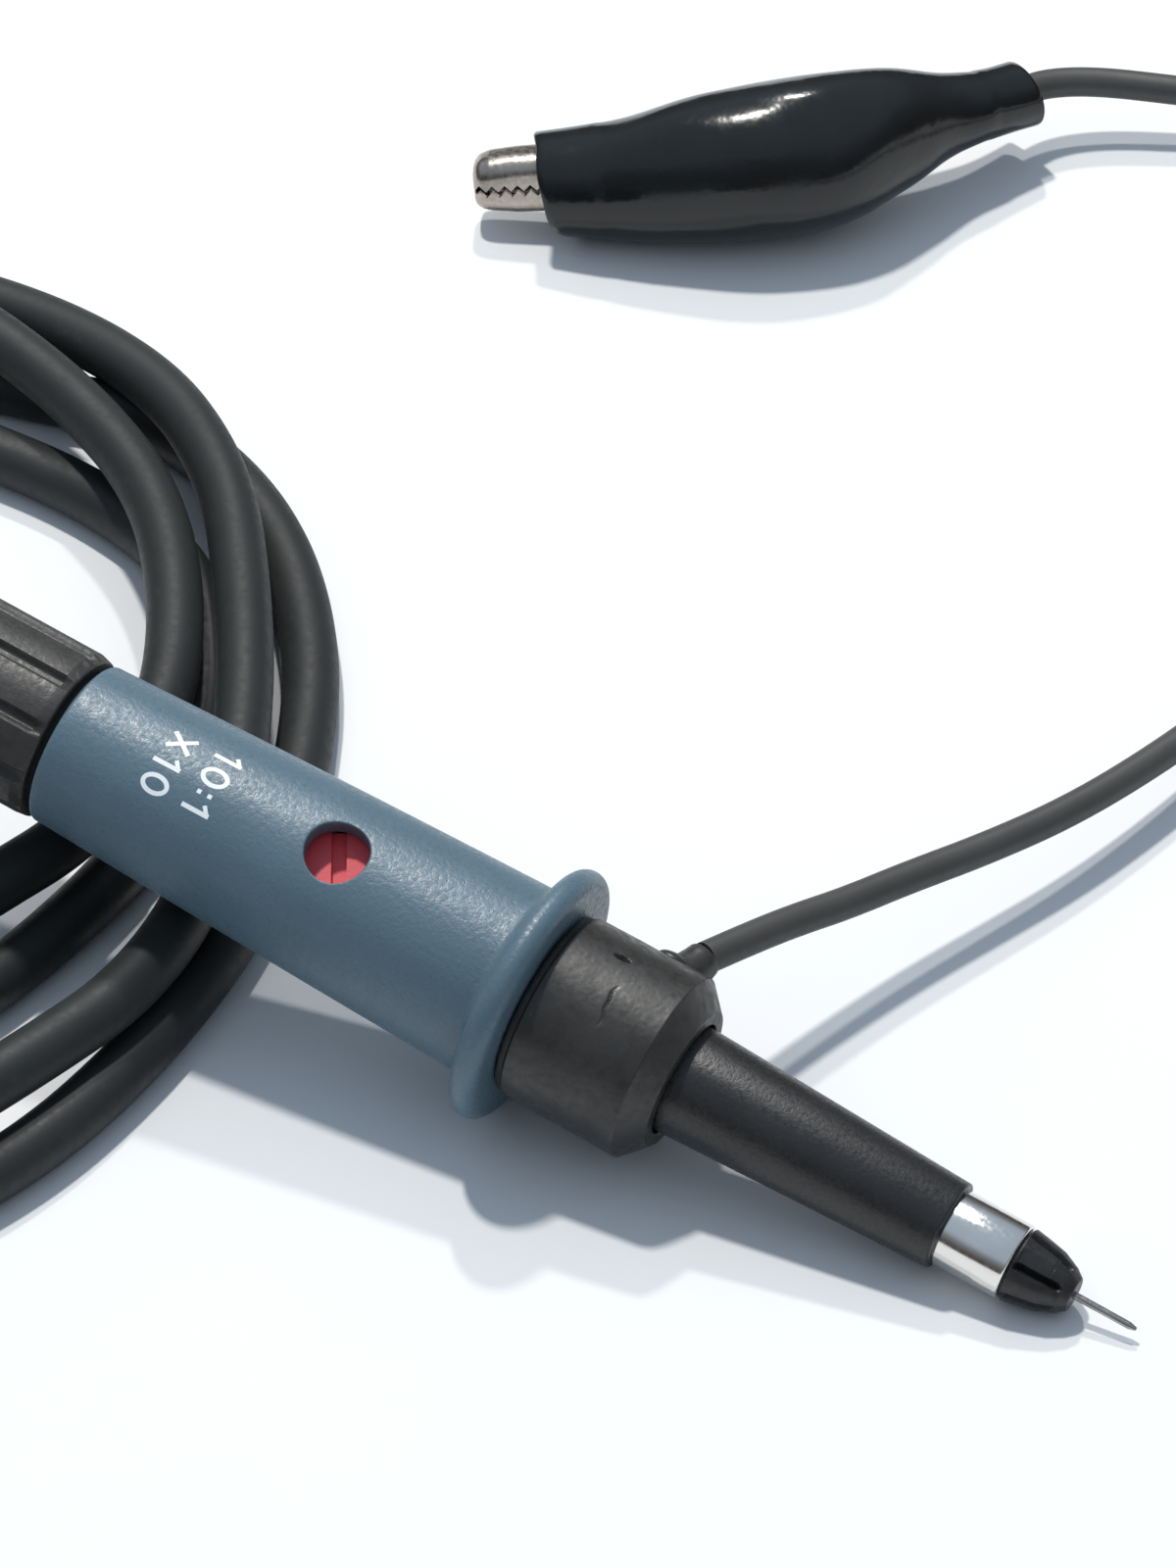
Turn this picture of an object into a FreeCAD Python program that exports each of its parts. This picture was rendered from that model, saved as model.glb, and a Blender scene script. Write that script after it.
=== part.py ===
# Oscilloscope probe: coaxial probe head with trimmer window, finger guard,
# swivelling ground collar with its lead and alligator clip, and a coiled
# coaxial cable that ends in a BNC plug.
#
# Units are millimetres, +Z is up and z = 0 is the bench top that the probe
# lies on.  The head points along +X and is pitched nose down, because its
# rear lies on the coil: the finger guard and the needle are the front feet.
# Stations on the head ("s") are measured along its own axis from the front
# face of the finger guard, positive towards the needle.
import FreeCAD
import Part
import math
import os

V3 = FreeCAD.Vector
doc = FreeCAD.newDocument("ScopeProbe")
sheet = doc.addObject("Spreadsheet::Sheet", "Dims")

DIMS = [
    # pose of the head
    ("pitch_deg", 10.256), ("guard_x", 10.95), ("guard_z", 8.455), ("window_roll_deg", 20.0),
    ("rear_off", 70.0),
    # barrel and finger guard
    ("barrel_len", 34.35), ("barrel_rear_rad", 5.436), ("barrel_front_rad", 6.386),
    ("barrel_bore_rad", 4.70), ("guard_rad", 8.59), ("guard_thick", 1.90), ("guard_round", 0.85),
    ("barrel_nose_rad", 5.00), ("nose_pass_rad", 4.26), ("window_rad", 2.05), ("window_station", 14.6),
    # tail grip and cable boot
    ("tail_gap", 0.45), ("tail_len", 13.2), ("tail_rad", 5.62), ("tail_bore_rad", 4.10),
    ("spigot_rad", 4.72), ("spigot_len", 5.0), ("flute_width", 1.3), ("flute_depth", 0.45), ("flute_count", 12),
    ("boot_len", 16.0), ("boot_rear_rad", 2.55), ("boot_front_rad", 3.60),
    # cable
    ("coax_rad", 1.90), ("coax_fit_rad", 1.88),
    # shield, carrier and trimmer
    ("shield_out_rad", 4.72), ("shield_in_rad", 4.25), ("shield_slot_half", 2.65),
    ("board_half", 3.96), ("board_thick", 0.80), ("trim_body_half", 2.30), ("trim_body_deep", 3.30),
    ("trim_rotor_rad", 2.40), ("trim_rotor_high", 1.30), ("trim_slot_deep", 0.60),
    # nose
    ("nose_rear_rad", 3.59), ("nose_front_rad", 2.88), ("nose_start", 9.70), ("nose_end", 29.0),
    ("sleeve_rad", 2.50), ("sleeve_back_rad", 2.32), ("sleeve_bore_rad", 2.15), ("sleeve_end", 33.63),
    ("ring_rad", 4.20), ("ring_end", 9.40),
    ("tip_rad", 2.45), ("tip_plug_rad", 2.16), ("tip_end", 37.7), ("tip_nose_rad", 1.10),
    ("needle_rad", 0.20), ("needle_end", 42.0), ("resistor_rad", 0.95),
    # ground collar
    ("collar_rad", 6.24), ("collar_start", 0.80), ("collar_cham", 8.64), ("collar_end", 10.17),
    ("collar_front_rad", 4.55), ("collar_bore_rad", 4.80), ("collar_lip_rad", 3.80),
    ("band_in_rad", 4.25), ("band_out_rad", 4.75), ("boss_rad", 1.75), ("boss_angle_deg", 23.0),
    # ground lead and clip
    ("lead_rad", 1.05), ("clip_heading_deg", 27.3), ("clip_pitch_deg", 5.5), ("clip_roll_deg", 15.0),
    ("clip_up_width", 3.60), ("clip_low_width", 2.80), ("clip_sheet", 0.35), ("clip_hinge_x", 15.5),
    ("clip_pin_rad", 0.60), ("boot_wall", 0.50),
    # coil of cable
    ("coil_x", -60.6), ("coil_y", -6.7), ("coil_out_rad", 53.4), ("coil_in_x", -63.6), ("coil_in_y", -2.7),
    ("coil_in_rad", 33.5), ("coil_high", 8.0), ("coil_notch_rad", 6.75),
    # BNC plug
    ("bnc_x", -119.4), ("bnc_y", 32.0), ("bnc_z", 7.30), ("bnc_boot_len", 15.0), ("bnc_ferrule_rad", 2.90),
    ("bnc_nut_rad", 7.20), ("bnc_nut_bore_rad", 4.90), ("bnc_nut_len", 14.0), ("bnc_nut_start", 20.0),
    ("bnc_shell_rad", 4.05), ("bnc_shell_bore_rad", 3.35), ("bnc_pin_rad", 0.685), ("bnc_core_rad", 2.40),
]
row = 1
D = {}
for alias, value in DIMS:
    sheet.set("A%d" % row, alias)
    sheet.set("B%d" % row, repr(float(value)))
    sheet.setAlias("B%d" % row, alias)
    D[alias] = float(value)
    row += 1
doc.recompute()


def lin(text):
    """A length written as a sum of sheet names and numbers: its value now and its expression."""
    total, sign, out, named = 0.0, 1.0, [], False
    for tok in str(text).split():
        if tok in ("+", "-"):
            sign = 1.0 if tok == "+" else -1.0
            out.append(tok)
            continue
        if tok in D:
            total += sign * D[tok]
            out.append("Dims." + tok)
            named = True
        else:
            total += sign * float(tok)
            out.append(tok)
        sign = 1.0
    return total, (" ".join(out) if named else None)


def plane(body, role):
    for f in body.Origin.OriginFeatures:
        if f.Role == role:
            return f
    raise RuntimeError(role)


def attach(sk, body, role, offset=None):
    sk.AttachmentSupport = [(plane(body, role), "")]
    sk.MapMode = "FlatFace"
    if offset is not None:
        sk.AttachmentOffset = FreeCAD.Placement(V3(0, 0, lin(offset)[0]), FreeCAD.Rotation())
        if lin(offset)[1]:
            sk.setExpression("AttachmentOffset.Base.z", lin(offset)[1])


def polygon(body, name, pts, role="XZ_Plane", offset=None):
    """A closed outline whose every corner is held by two dimensions from the origin."""
    sk = body.newObject("Sketcher::SketchObject", name)
    attach(sk, body, role, offset)
    num = [(lin(a), lin(b)) for a, b in pts]
    n = len(num)
    for i in range(n):
        a, b = num[i], num[(i + 1) % n]
        sk.addGeometry(Part.LineSegment(V3(a[0][0], a[1][0], 0), V3(b[0][0], b[1][0], 0)), False)
    import Sketcher
    for i in range(n):
        sk.addConstraint(Sketcher.Constraint("Coincident", i, 2, (i + 1) % n, 1))
    for i in range(n):
        for axis, (val, expr) in zip(("DistanceX", "DistanceY"), num[i]):
            if abs(val) < 1e-9:
                sk.addConstraint(Sketcher.Constraint("PointOnObject", i, 1, -2 if axis == "DistanceX" else -1))
            else:
                k = sk.addConstraint(Sketcher.Constraint(axis, -1, 1, i, 1, val))
                if expr:
                    sk.setExpression("Constraints[%d]" % k, expr)
    return sk


def circles(body, name, items, role, offset=None):
    """Circles as (x, y, radius) on one sketch."""
    import Sketcher
    sk = body.newObject("Sketcher::SketchObject", name)
    attach(sk, body, role, offset)
    for i, (x, y, r) in enumerate(items):
        (xv, xe), (yv, ye), (rv, re_) = lin(x), lin(y), lin(r)
        sk.addGeometry(Part.Circle(V3(xv, yv, 0), V3(0, 0, 1), rv), False)
        for axis, val, expr in (("DistanceX", xv, xe), ("DistanceY", yv, ye)):
            if abs(val) < 1e-9:
                sk.addConstraint(Sketcher.Constraint("PointOnObject", i, 3, -2 if axis == "DistanceX" else -1))
            else:
                k = sk.addConstraint(Sketcher.Constraint(axis, -1, 1, i, 3, val))
                if expr:
                    sk.setExpression("Constraints[%d]" % k, expr)
        k = sk.addConstraint(Sketcher.Constraint("Radius", i, rv))
        if re_:
            sk.setExpression("Constraints[%d]" % k, re_)
    return sk


NODES = []


def new_body(name):
    body = doc.addObject("PartDesign::Body", name)
    body.Label = name
    NODES.append(body)
    return body


def revolve(name, pts, body=None):
    """A turned piece: outline in (radius, station) turned about its own Z."""
    body = body or new_body(name)
    sk = polygon(body, name + "_outline", pts)
    rev = body.newObject("PartDesign::Revolution", name + "_turned")
    rev.Profile = sk
    rev.ReferenceAxis = (sk, ["V_Axis"])
    rev.Angle = 360.0
    doc.recompute()
    return body


def pocket(body, name, sk, length, rev=False, mid=False):
    before = body.Shape.Volume
    p = body.newObject("PartDesign::Pocket", name)
    p.Profile = sk
    p.Length = lin(length)[0]
    if lin(length)[1]:
        p.setExpression("Length", lin(length)[1])
    p.Reversed = rev
    p.Midplane = mid
    doc.recompute()
    if not body.Shape.Volume < before - 1e-6:
        raise RuntimeError("pocket %s cut nothing" % name)
    return p


def pad(body, name, sk, length, rev=False, mid=False):
    before = 0.0 if body.Shape.isNull() else body.Shape.Volume
    p = body.newObject("PartDesign::Pad", name)
    p.Profile = sk
    p.Length = lin(length)[0]
    if lin(length)[1]:
        p.setExpression("Length", lin(length)[1])
    p.Reversed = rev
    p.Midplane = mid
    doc.recompute()
    if not body.Shape.Volume > before + 1e-6:
        raise RuntimeError("pad %s added nothing" % name)
    return p


def polar(body, name, feature, count):
    before = body.Shape.Volume
    pat = body.newObject("PartDesign::PolarPattern", name)
    pat.Originals = [feature]
    for f in body.Origin.OriginFeatures:
        if f.Role == "Z_Axis":
            pat.Axis = (f, [""])
    pat.Angle = 360.0
    pat.Occurrences = int(lin(count)[0])
    if lin(count)[1]:
        pat.setExpression("Occurrences", lin(count)[1])
    body.Tip = pat
    doc.recompute()
    if abs(body.Shape.Volume - before) < 1e-6:
        raise RuntimeError("pattern %s changed nothing" % name)
    return pat


# ---------------------------------------------------------------- frames
tau = math.radians(D["pitch_deg"])
AX = V3(math.cos(tau), 0, -math.sin(tau))            # head axis, towards the needle
UP = V3(math.sin(tau), 0, math.cos(tau))             # square to it, upwards
GUARD = V3(D["guard_x"], 0, D["guard_z"])


def head_frame(roll_deg=0.0):
    rr = math.radians(roll_deg)
    xdir = UP * math.cos(rr) + V3(0, -1, 0) * math.sin(rr)
    rot = FreeCAD.Rotation(xdir, AX.cross(xdir), AX, "ZXY")
    return FreeCAD.Placement(GUARD - AX * D["rear_off"], rot)


HEAD = head_frame(D["window_roll_deg"])


def on_head(body, placement=None):
    body.Placement = placement or HEAD
    return body


# ---------------------------------------------------------------- barrel
R = "rear_off"
b = revolve("barrel", [
    ("barrel_bore_rad", R + " - barrel_len"),
    ("barrel_rear_rad - 0.35", R + " - barrel_len"),
    ("barrel_rear_rad", R + " - barrel_len + 0.35"),
    ("barrel_front_rad", R + " - guard_thick - 1.1"),
    ("barrel_front_rad + 0.35", R + " - guard_thick - 0.35"),
    ("barrel_front_rad + 1.1", R + " - guard_thick"),
    ("guard_rad", R + " - guard_thick"),
    ("guard_rad", R),
    ("nose_pass_rad", R),
    ("nose_pass_rad", R + " - 3.0"),
    ("barrel_bore_rad", R + " - 3.0")])
feat = b.Tip
rim = []
for i, e in enumerate(b.Shape.Edges):
    if e.Curve.TypeId == "Part::GeomCircle" and abs(e.Curve.Radius - D["guard_rad"]) < 1e-4:
        rim.append("Edge%d" % (i + 1))
fl = b.newObject("PartDesign::Fillet", "barrel_rim_round")
fl.Base = (feat, rim)
fl.Radius = D["guard_round"]
fl.setExpression("Radius", "Dims.guard_round")
doc.recompute()
sk = circles(b, "barrel_window_outline", [("0", R + " - window_station", "window_rad")], "YZ_Plane")
pocket(b, "barrel_window", sk, "12.0", rev=True)
on_head(b)

# ---------------------------------------------------------------- tail grip
T0 = R + " - barrel_len - tail_gap"
b = revolve("tail_grip", [
    ("coax_rad + 1.75", T0 + " - tail_len"),
    ("tail_rad - 0.9", T0 + " - tail_len"),
    ("tail_rad - 0.3", T0 + " - tail_len + 0.8"),
    ("tail_rad", T0 + " - tail_len + 3.0"),
    ("tail_rad", T0 + " - 0.3"),
    ("tail_rad - 0.3", T0),
    ("spigot_rad", T0),
    ("spigot_rad", T0 + " + spigot_len"),
    ("tail_bore_rad", T0 + " + spigot_len"),
    ("tail_bore_rad", T0 + " - tail_len + 2.0"),
    ("coax_rad + 1.75", T0 + " - tail_len + 2.0")])
sk = polygon(b, "tail_flute_outline", [
    ("tail_rad - flute_depth", "0.0 - 0.65"), ("tail_rad + 0.6", "0.0 - 0.65"),
    ("tail_rad + 0.6", "0.65"), ("tail_rad - flute_depth", "0.65")],
    "XY_Plane", T0 + " - 1.2")
p = pocket(b, "tail_flute", sk, "tail_len - 3.0")
polar(b, "tail_flutes", p, "flute_count")
on_head(b)

# flexible sleeve over the cable, with its head held inside the tail grip
B0 = T0 + " - tail_len"
b = revolve("cable_boot", [
    ("coax_fit_rad", B0 + " - boot_len"),
    ("boot_rear_rad - 0.2", B0 + " - boot_len"),
    ("boot_rear_rad", B0 + " - boot_len + 0.3"),
    ("boot_front_rad - 0.2", B0 + " - 1.0"),
    ("boot_front_rad", B0 + " - 0.1"),
    ("boot_front_rad", B0 + " + 2.1"),
    ("tail_bore_rad + 0.02", B0 + " + 2.1"),
    ("tail_bore_rad + 0.02", B0 + " + 4.0"),
    ("coax_fit_rad", B0 + " + 4.0")])
sk = polygon(b, "boot_slit_outline", [
    ("2.25", "0.0 - 4.0"), ("4.5", "0.0 - 4.0"), ("4.5", "4.0"), ("2.25", "4.0")],
    "XY_Plane", B0 + " - 2.0")
slit = pocket(b, "boot_slit", sk, "0.7")
lp = b.newObject("PartDesign::LinearPattern", "boot_slits")
lp.Originals = [slit]
for f in b.Origin.OriginFeatures:
    if f.Role == "Z_Axis":
        lp.Direction = (f, [""])
lp.Reversed = True
lp.Length = 10.0
lp.Occurrences = 5
b.Tip = lp
doc.recompute()
on_head(b)

# cable end inside the tail: jacket, crimp ferrule and stripped core
b = revolve("coax_end", [("0", B0 + " - boot_len"), ("coax_rad", B0 + " - boot_len"),
                         ("coax_rad", B0 + " + 9.5"), ("0", B0 + " + 9.5")])
on_head(b)
b = revolve("crimp_ferrule", [("coax_fit_rad", B0 + " + 4.3"), ("2.75", B0 + " + 4.3"),
                              ("2.75", B0 + " + 9.0"), ("3.7", B0 + " + 9.0"), ("3.7", B0 + " + 10.6"),
                              ("1.0", B0 + " + 10.6"), ("1.0", B0 + " + 9.7"), ("coax_fit_rad", B0 + " + 9.7")])
on_head(b)
b = revolve("coax_core", [("0", B0 + " + 9.3"), ("0.45", B0 + " + 9.3"), ("0.45", B0 + " + 20.0"), ("0", B0 + " + 20.0")])
on_head(b)

# ---------------------------------------------------------------- shield, board, trimmer
b = revolve("inner_shield", [
    ("shield_in_rad", R + " - 27.5"), ("shield_out_rad", R + " - 27.5"),
    ("shield_out_rad", R + " - 3.4"), ("shield_in_rad", R + " - 3.4")])
sk = circles(b, "shield_port_outline", [("0", R + " - window_station", "shield_slot_half")], "YZ_Plane")
pocket(b, "shield_port", sk, "12.0", rev=True)
on_head(b)

b = new_body("circuit_board")
sk = polygon(b, "board_outline", [
    ("0.0 - board_half", R + " - 26.0"), ("board_half", R + " - 26.0"),
    ("board_half", R + " - 5.0"), ("0.0 - board_half", R + " - 5.0")], "YZ_Plane", "0.0 - 1.6")
pad(b, "board_plate", sk, "board_thick")
on_head(b)

b = new_body("trimmer_body")
sk = polygon(b, "trimmer_body_outline", [
    ("0.0 - trim_body_half", R + " - window_station - 2.3"), ("trim_body_half", R + " - window_station - 2.3"),
    ("trim_body_half", R + " - window_station + 2.3"), ("0.0 - trim_body_half", R + " - window_station + 2.3")],
    "YZ_Plane", "0.0 - 0.80")
pad(b, "trimmer_block", sk, "trim_body_deep")
sk = circles(b, "trimmer_well_outline", [("0", R + " - window_station", "0.65")], "YZ_Plane")
pocket(b, "trimmer_well", sk, "4.0", rev=True)
on_head(b)

b = new_body("trimmer_rotor")
sk = circles(b, "rotor_outline", [("0", R + " - window_station", "trim_rotor_rad")], "YZ_Plane", "trim_body_deep - 0.70")
pad(b, "rotor_disc", sk, "trim_rotor_high")
sk = circles(b, "rotor_stem_outline", [("0", R + " - window_station", "0.60")], "YZ_Plane", "trim_body_deep - 0.70")
pad(b, "rotor_stem", sk, "1.6", rev=True)
sk = polygon(b, "rotor_slot_outline", [
    ("0.0 - 2.475", R + " - window_station - 0.928"), ("0.0 - 1.981", R + " - window_station - 1.750"),
    ("2.475", R + " - window_station + 0.928"), ("1.981", R + " - window_station + 1.750")],
    "YZ_Plane", "trim_body_deep + trim_rotor_high - 0.70")
pocket(b, "rotor_slot", sk, "trim_slot_deep")
on_head(b)

# ---------------------------------------------------------------- nose
b = revolve("reference_ring", [
    ("2.31", R + " - 3.2"), ("ring_rad - 0.02", R + " - 3.2"), ("ring_rad", R + " - 0.2"), ("ring_rad", R + " + ring_end"),
    ("2.31", R + " + ring_end")])
on_head(b)
b = revolve("nose_sleeve", [
    ("2.31", R + " + ring_end"), ("nose_rear_rad", R + " + ring_end"),
    ("nose_rear_rad", R + " + nose_start + 0.6"),
    ("nose_front_rad + 0.02", R + " + nose_end - 0.15"), ("nose_front_rad - 0.13", R + " + nose_end"),
    ("2.31", R + " + nose_end")])
on_head(b)
b = revolve("ground_sleeve", [
    ("sleeve_bore_rad", R + " - 5.0"), ("sleeve_back_rad", R + " - 5.0"), ("sleeve_back_rad", R + " + nose_end + 0.1"),
    ("sleeve_rad", R + " + nose_end + 0.1"), ("sleeve_rad", R + " + sleeve_end - 0.2"), ("sleeve_rad - 0.2", R + " + sleeve_end"),
    ("sleeve_bore_rad", R + " + sleeve_end")])
on_head(b)
b = revolve("tip_insulator", [
    ("0.59", R + " + sleeve_end - 7.5"), ("tip_plug_rad", R + " + sleeve_end - 7.5"),
    ("tip_plug_rad", R + " + sleeve_end + 0.15"), ("tip_rad - 0.05", R + " + sleeve_end + 0.15"),
    ("tip_rad - 0.18", R + " + sleeve_end + 1.15"), ("tip_rad - 0.40", R + " + sleeve_end + 2.25"),
    ("tip_nose_rad + 0.25", R + " + tip_end - 0.3"), ("tip_nose_rad", R + " + tip_end"),
    ("0.20", R + " + tip_end"), ("0.20", R + " + sleeve_end - 1.0"), ("0.59", R + " + sleeve_end - 1.0")])
sk = polygon(b, "tip_slot_outline", [
    ("tip_rad - 0.70", "0.0 - 0.30"), ("tip_rad + 0.6", "0.0 - 0.30"),
    ("tip_rad + 0.6", "0.30"), ("tip_rad - 0.70", "0.30")],
    "XY_Plane", R + " + sleeve_end + 2.6")
p = pocket(b, "tip_slot", sk, "2.2")
polar(b, "tip_slots", p, "6")
on_head(b)
b = revolve("tip_needle", [
    ("0", R + " + sleeve_end - 7.7"), ("0.60", R + " + sleeve_end - 7.7"), ("0.60", R + " + sleeve_end - 1.2"),
    ("needle_rad", R + " + sleeve_end - 1.0"), ("needle_rad", R + " + needle_end - 0.20"),
    ("0.11", R + " + needle_end - 0.03"), ("0", R + " + needle_end")])
on_head(b)
b = revolve("tip_socket", [
    ("0", R + " + 18.9"), ("1.01", R + " + 18.9"),
    ("1.01", R + " + sleeve_end - 7.7"), ("0", R + " + sleeve_end - 7.7")])
on_head(b)
b = revolve("input_resistor", [
    ("0", R + " + 5.6"), ("0.30", R + " + 5.6"), ("0.30", R + " + 9.0"), ("resistor_rad", R + " + 9.0"),
    ("resistor_rad", R + " + 15.6"), ("0.30", R + " + 15.6"), ("0.30", R + " + 18.9"), ("0", R + " + 18.9")])
on_head(b)
b = revolve("nose_dielectric", [
    ("1.0", R + " - 4.0"), ("sleeve_bore_rad + 0.01", R + " - 4.0"), ("sleeve_bore_rad + 0.01", R + " + 25.4"),
    ("1.0", R + " + 25.4")])
on_head(b)
b = revolve("contact_spring", [
    ("0", R + " - 6.4"), ("0.80", R + " - 6.4"), ("0.80", R + " - 5.2"), ("0.35", R + " - 5.2"),
    ("0.35", R + " - 1.0"), ("0.75", R + " - 1.0"),
    ("0.75", R + " + 5.6"), ("0", R + " + 5.6")])
on_head(b)

# ---------------------------------------------------------------- ground collar
COLLAR = head_frame(0.0)
b = revolve("ground_collar", [
    ("collar_bore_rad", R + " + collar_start"), ("collar_rad - 0.25", R + " + collar_start"),
    ("collar_rad", R + " + collar_start + 0.25"), ("collar_rad", R + " + collar_cham"),
    ("collar_front_rad", R + " + collar_end"), ("collar_lip_rad", R + " + collar_end"),
    ("collar_lip_rad", R + " + ring_end + 0.12"), ("collar_bore_rad", R + " + ring_end + 0.12")])
b.Placement = COLLAR
b = revolve("collar_contact", [
    ("band_in_rad", R + " + 1.4"), ("band_out_rad", R + " + 1.4"), ("band_out_rad", R + " + 8.4"),
    ("band_in_rad", R + " + 8.4")])
sk = polygon(b, "band_split_outline", [
    ("0.0 - 6.0", "0.0 - 0.5"), ("0.0 - 3.0", "0.0 - 0.5"), ("0.0 - 3.0", "0.5"), ("0.0 - 6.0", "0.5")],
    "XY_Plane", R + " + 9.0")
pocket(b, "band_split", sk, "9.0")
b.Placement = COLLAR

# the lead's exit: a short rubber spout on the far side of the collar
be = math.radians(D["boss_angle_deg"])
rad_dir = V3(0, math.cos(be), 0) + UP * math.sin(be)
BOSS_AT = GUARD + AX * 6.6
OUT = V3(0.20, 0.97, 0.10)
OUT.normalize()
spout_root = BOSS_AT + rad_dir * (D["collar_rad"] - 0.9)
sp = doc.addObject("Part::Cone", "spout_cone")
sp.Radius1 = D["boss_rad"]
sp.setExpression("Radius1", "Dims.boss_rad")
sp.Radius2 = 1.35
sp.Height = 2.4
sp.Placement = FreeCAD.Placement(spout_root, FreeCAD.Rotation(V3(0, 0, 1), OUT))
core = doc.addObject("Part::Cylinder", "spout_core")
core.Radius = D["collar_rad"] - 0.03
core.setExpression("Radius", "Dims.collar_rad - 0.03")
core.Height = 12.0
core.Placement = FreeCAD.Placement(GUARD + AX * 0.2, FreeCAD.Rotation(V3(0, 0, 1), AX))
sc = doc.addObject("Part::Cut", "lead_spout")
sc.Base = sp
sc.Tool = core
sc.Label = "lead_spout"
doc.recompute()
NODES.append(sc)
LEAD_EXIT = spout_root + OUT * 2.4


# ---------------------------------------------------------------- cords
def tube(name, pts, rad, alias):
    """A cord's stretch: straight runs joined by tangent arcs, swept with its section."""
    P = [V3(*p) for p in pts]
    edges, start, radii = [], P[0], []
    for i in range(1, len(P) - 1):
        a, c = P[i - 1] - P[i], P[i + 1] - P[i]
        la, lc = a.Length, c.Length
        a.normalize()
        c.normalize()
        turn = math.pi - a.getAngle(c)
        r = 0.45 * min(la, lc) / math.tan(turn / 2)
        radii.append(r)
        t = r * math.tan(turn / 2)
        e1, e2 = P[i] + a * t, P[i] + c * t
        bis = a + c
        bis.normalize()
        mid = P[i] + bis * (r / math.cos(turn / 2) - r)
        edges.append(Part.LineSegment(start, e1).toShape())
        edges.append(Part.Arc(e1, mid, e2).toShape())
        start = e2
    edges.append(Part.LineSegment(start, P[-1]).toShape())
    wire = Part.Wire(edges)
    d0 = P[1] - P[0]
    d0.normalize()
    ring = Part.Wire([Part.makeCircle(rad, P[0], d0)])
    shape = wire.makePipeShell([ring], True, True, 2)
    if not shape.isValid() or shape.Volume <= 0:
        shape = wire.makePipeShell([ring], True, True)
    want = math.pi * rad * rad * wire.Length
    print("%s: length %.1f  volume %.1f of %.1f  radii %.1f..%.1f  max turn ok" % (
        name, wire.Length, shape.Volume, want, min(radii), max(radii)))
    if abs(shape.Volume / want - 1) > 0.01:
        raise RuntimeError("tube %s has the wrong volume" % name)
    f = doc.addObject("Part::Feature", name)
    f.Label = name
    f.Shape = shape
    f.Placement = FreeCAD.Placement()
    NODES.append(f)
    return f


# cable from the rear boot, up over its own coil and down onto it
BOOT_EXIT = GUARD - AX * (D["barrel_len"] + D["tail_gap"] + D["tail_len"] + D["boot_len"])
L1 = BOOT_EXIT - AX * 8.2
LEAD_IN = [tuple(BOOT_EXIT), tuple(L1),
           (-69.2, -1.4, 21.3), (-78.2, 0.9, 19.7), (-85.0, 7.2, 16.9), (-88.3, 15.9, 13.6),
           (-87.5, 25.2, 10.8), (-82.5, 33.3, 8.6), (-74.6, 38.5, 7.3)]
tube("coax_lead_in", LEAD_IN, D["coax_rad"], "coax_rad")

# the coil: the ring that its turns fill, with a notch where the barrel lies on it
co = doc.addObject("Part::Cylinder", "coil_outer")
co.Radius = D["coil_out_rad"]
co.setExpression("Radius", "Dims.coil_out_rad")
co.Height = D["coil_high"]
co.setExpression("Height", "Dims.coil_high")
co.Placement = FreeCAD.Placement(V3(D["coil_x"], D["coil_y"], 0), FreeCAD.Rotation())
ci = doc.addObject("Part::Cylinder", "coil_inner")
ci.Radius = D["coil_in_rad"]
ci.setExpression("Radius", "Dims.coil_in_rad")
ci.Height = 20.0
ci.Placement = FreeCAD.Placement(V3(D["coil_in_x"], D["coil_in_y"], -1), FreeCAD.Rotation())
c1 = doc.addObject("Part::Cut", "coil_ring")
c1.Base = co
c1.Tool = ci
cn = doc.addObject("Part::Cylinder", "coil_notch")
cn.Radius = D["coil_notch_rad"]
cn.setExpression("Radius", "Dims.coil_notch_rad")
cn.Height = 60.0
cn.Placement = FreeCAD.Placement(GUARD - AX * 62.0, FreeCAD.Rotation(V3(0, 0, 1), AX))
c2 = doc.addObject("Part::Cut", "coax_coil")
c2.Base = c1
c2.Tool = cn
c2.Label = "coax_coil"
doc.recompute()
NODES.append(c2)

LEAD_OUT = [(-103.2, -35.9, 1.9), (-109.4, -25.8, 1.9), (-114.1, -13.9, 2.4), (-117.2, -1.1, 3.9),
            (-118.8, 10.8, 5.8), (-119.35, 21.3, 7.0), (D["bnc_x"], D["bnc_y"], D["bnc_z"])]
tube("coax_lead_out", LEAD_OUT, D["coax_rad"], "coax_rad")

# ---------------------------------------------------------------- BNC plug
PLUG = FreeCAD.Placement(V3(D["bnc_x"], D["bnc_y"], D["bnc_z"]), FreeCAD.Rotation(V3(1, 0, 0), V3(0, 0, -1), V3(0, 1, 0), "ZXY"))
b = revolve("bnc_boot", [
    ("coax_fit_rad", "0"), ("2.45", "0"), ("2.6", "0.3"), ("4.0", "12.5"), ("4.3", "13.2"), ("4.3", "bnc_boot_len"),
    ("bnc_ferrule_rad - 0.02", "bnc_boot_len"), ("bnc_ferrule_rad - 0.02", "11.0"), ("coax_fit_rad", "11.0")])
sk = polygon(b, "bnc_boot_slit_outline", [("3.05", "0.0 - 5.0"), ("6.0", "0.0 - 5.0"), ("6.0", "5.0"), ("3.05", "5.0")],
             "XY_Plane", "10.5")
slit = pocket(b, "bnc_boot_slit", sk, "0.8")
lp = b.newObject("PartDesign::LinearPattern", "bnc_boot_slits")
lp.Originals = [slit]
for f in b.Origin.OriginFeatures:
    if f.Role == "Z_Axis":
        lp.Direction = (f, [""])
lp.Reversed = True
lp.Length = 5.0
lp.Occurrences = 3
b.Tip = lp
doc.recompute()
b.Placement = PLUG
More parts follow.
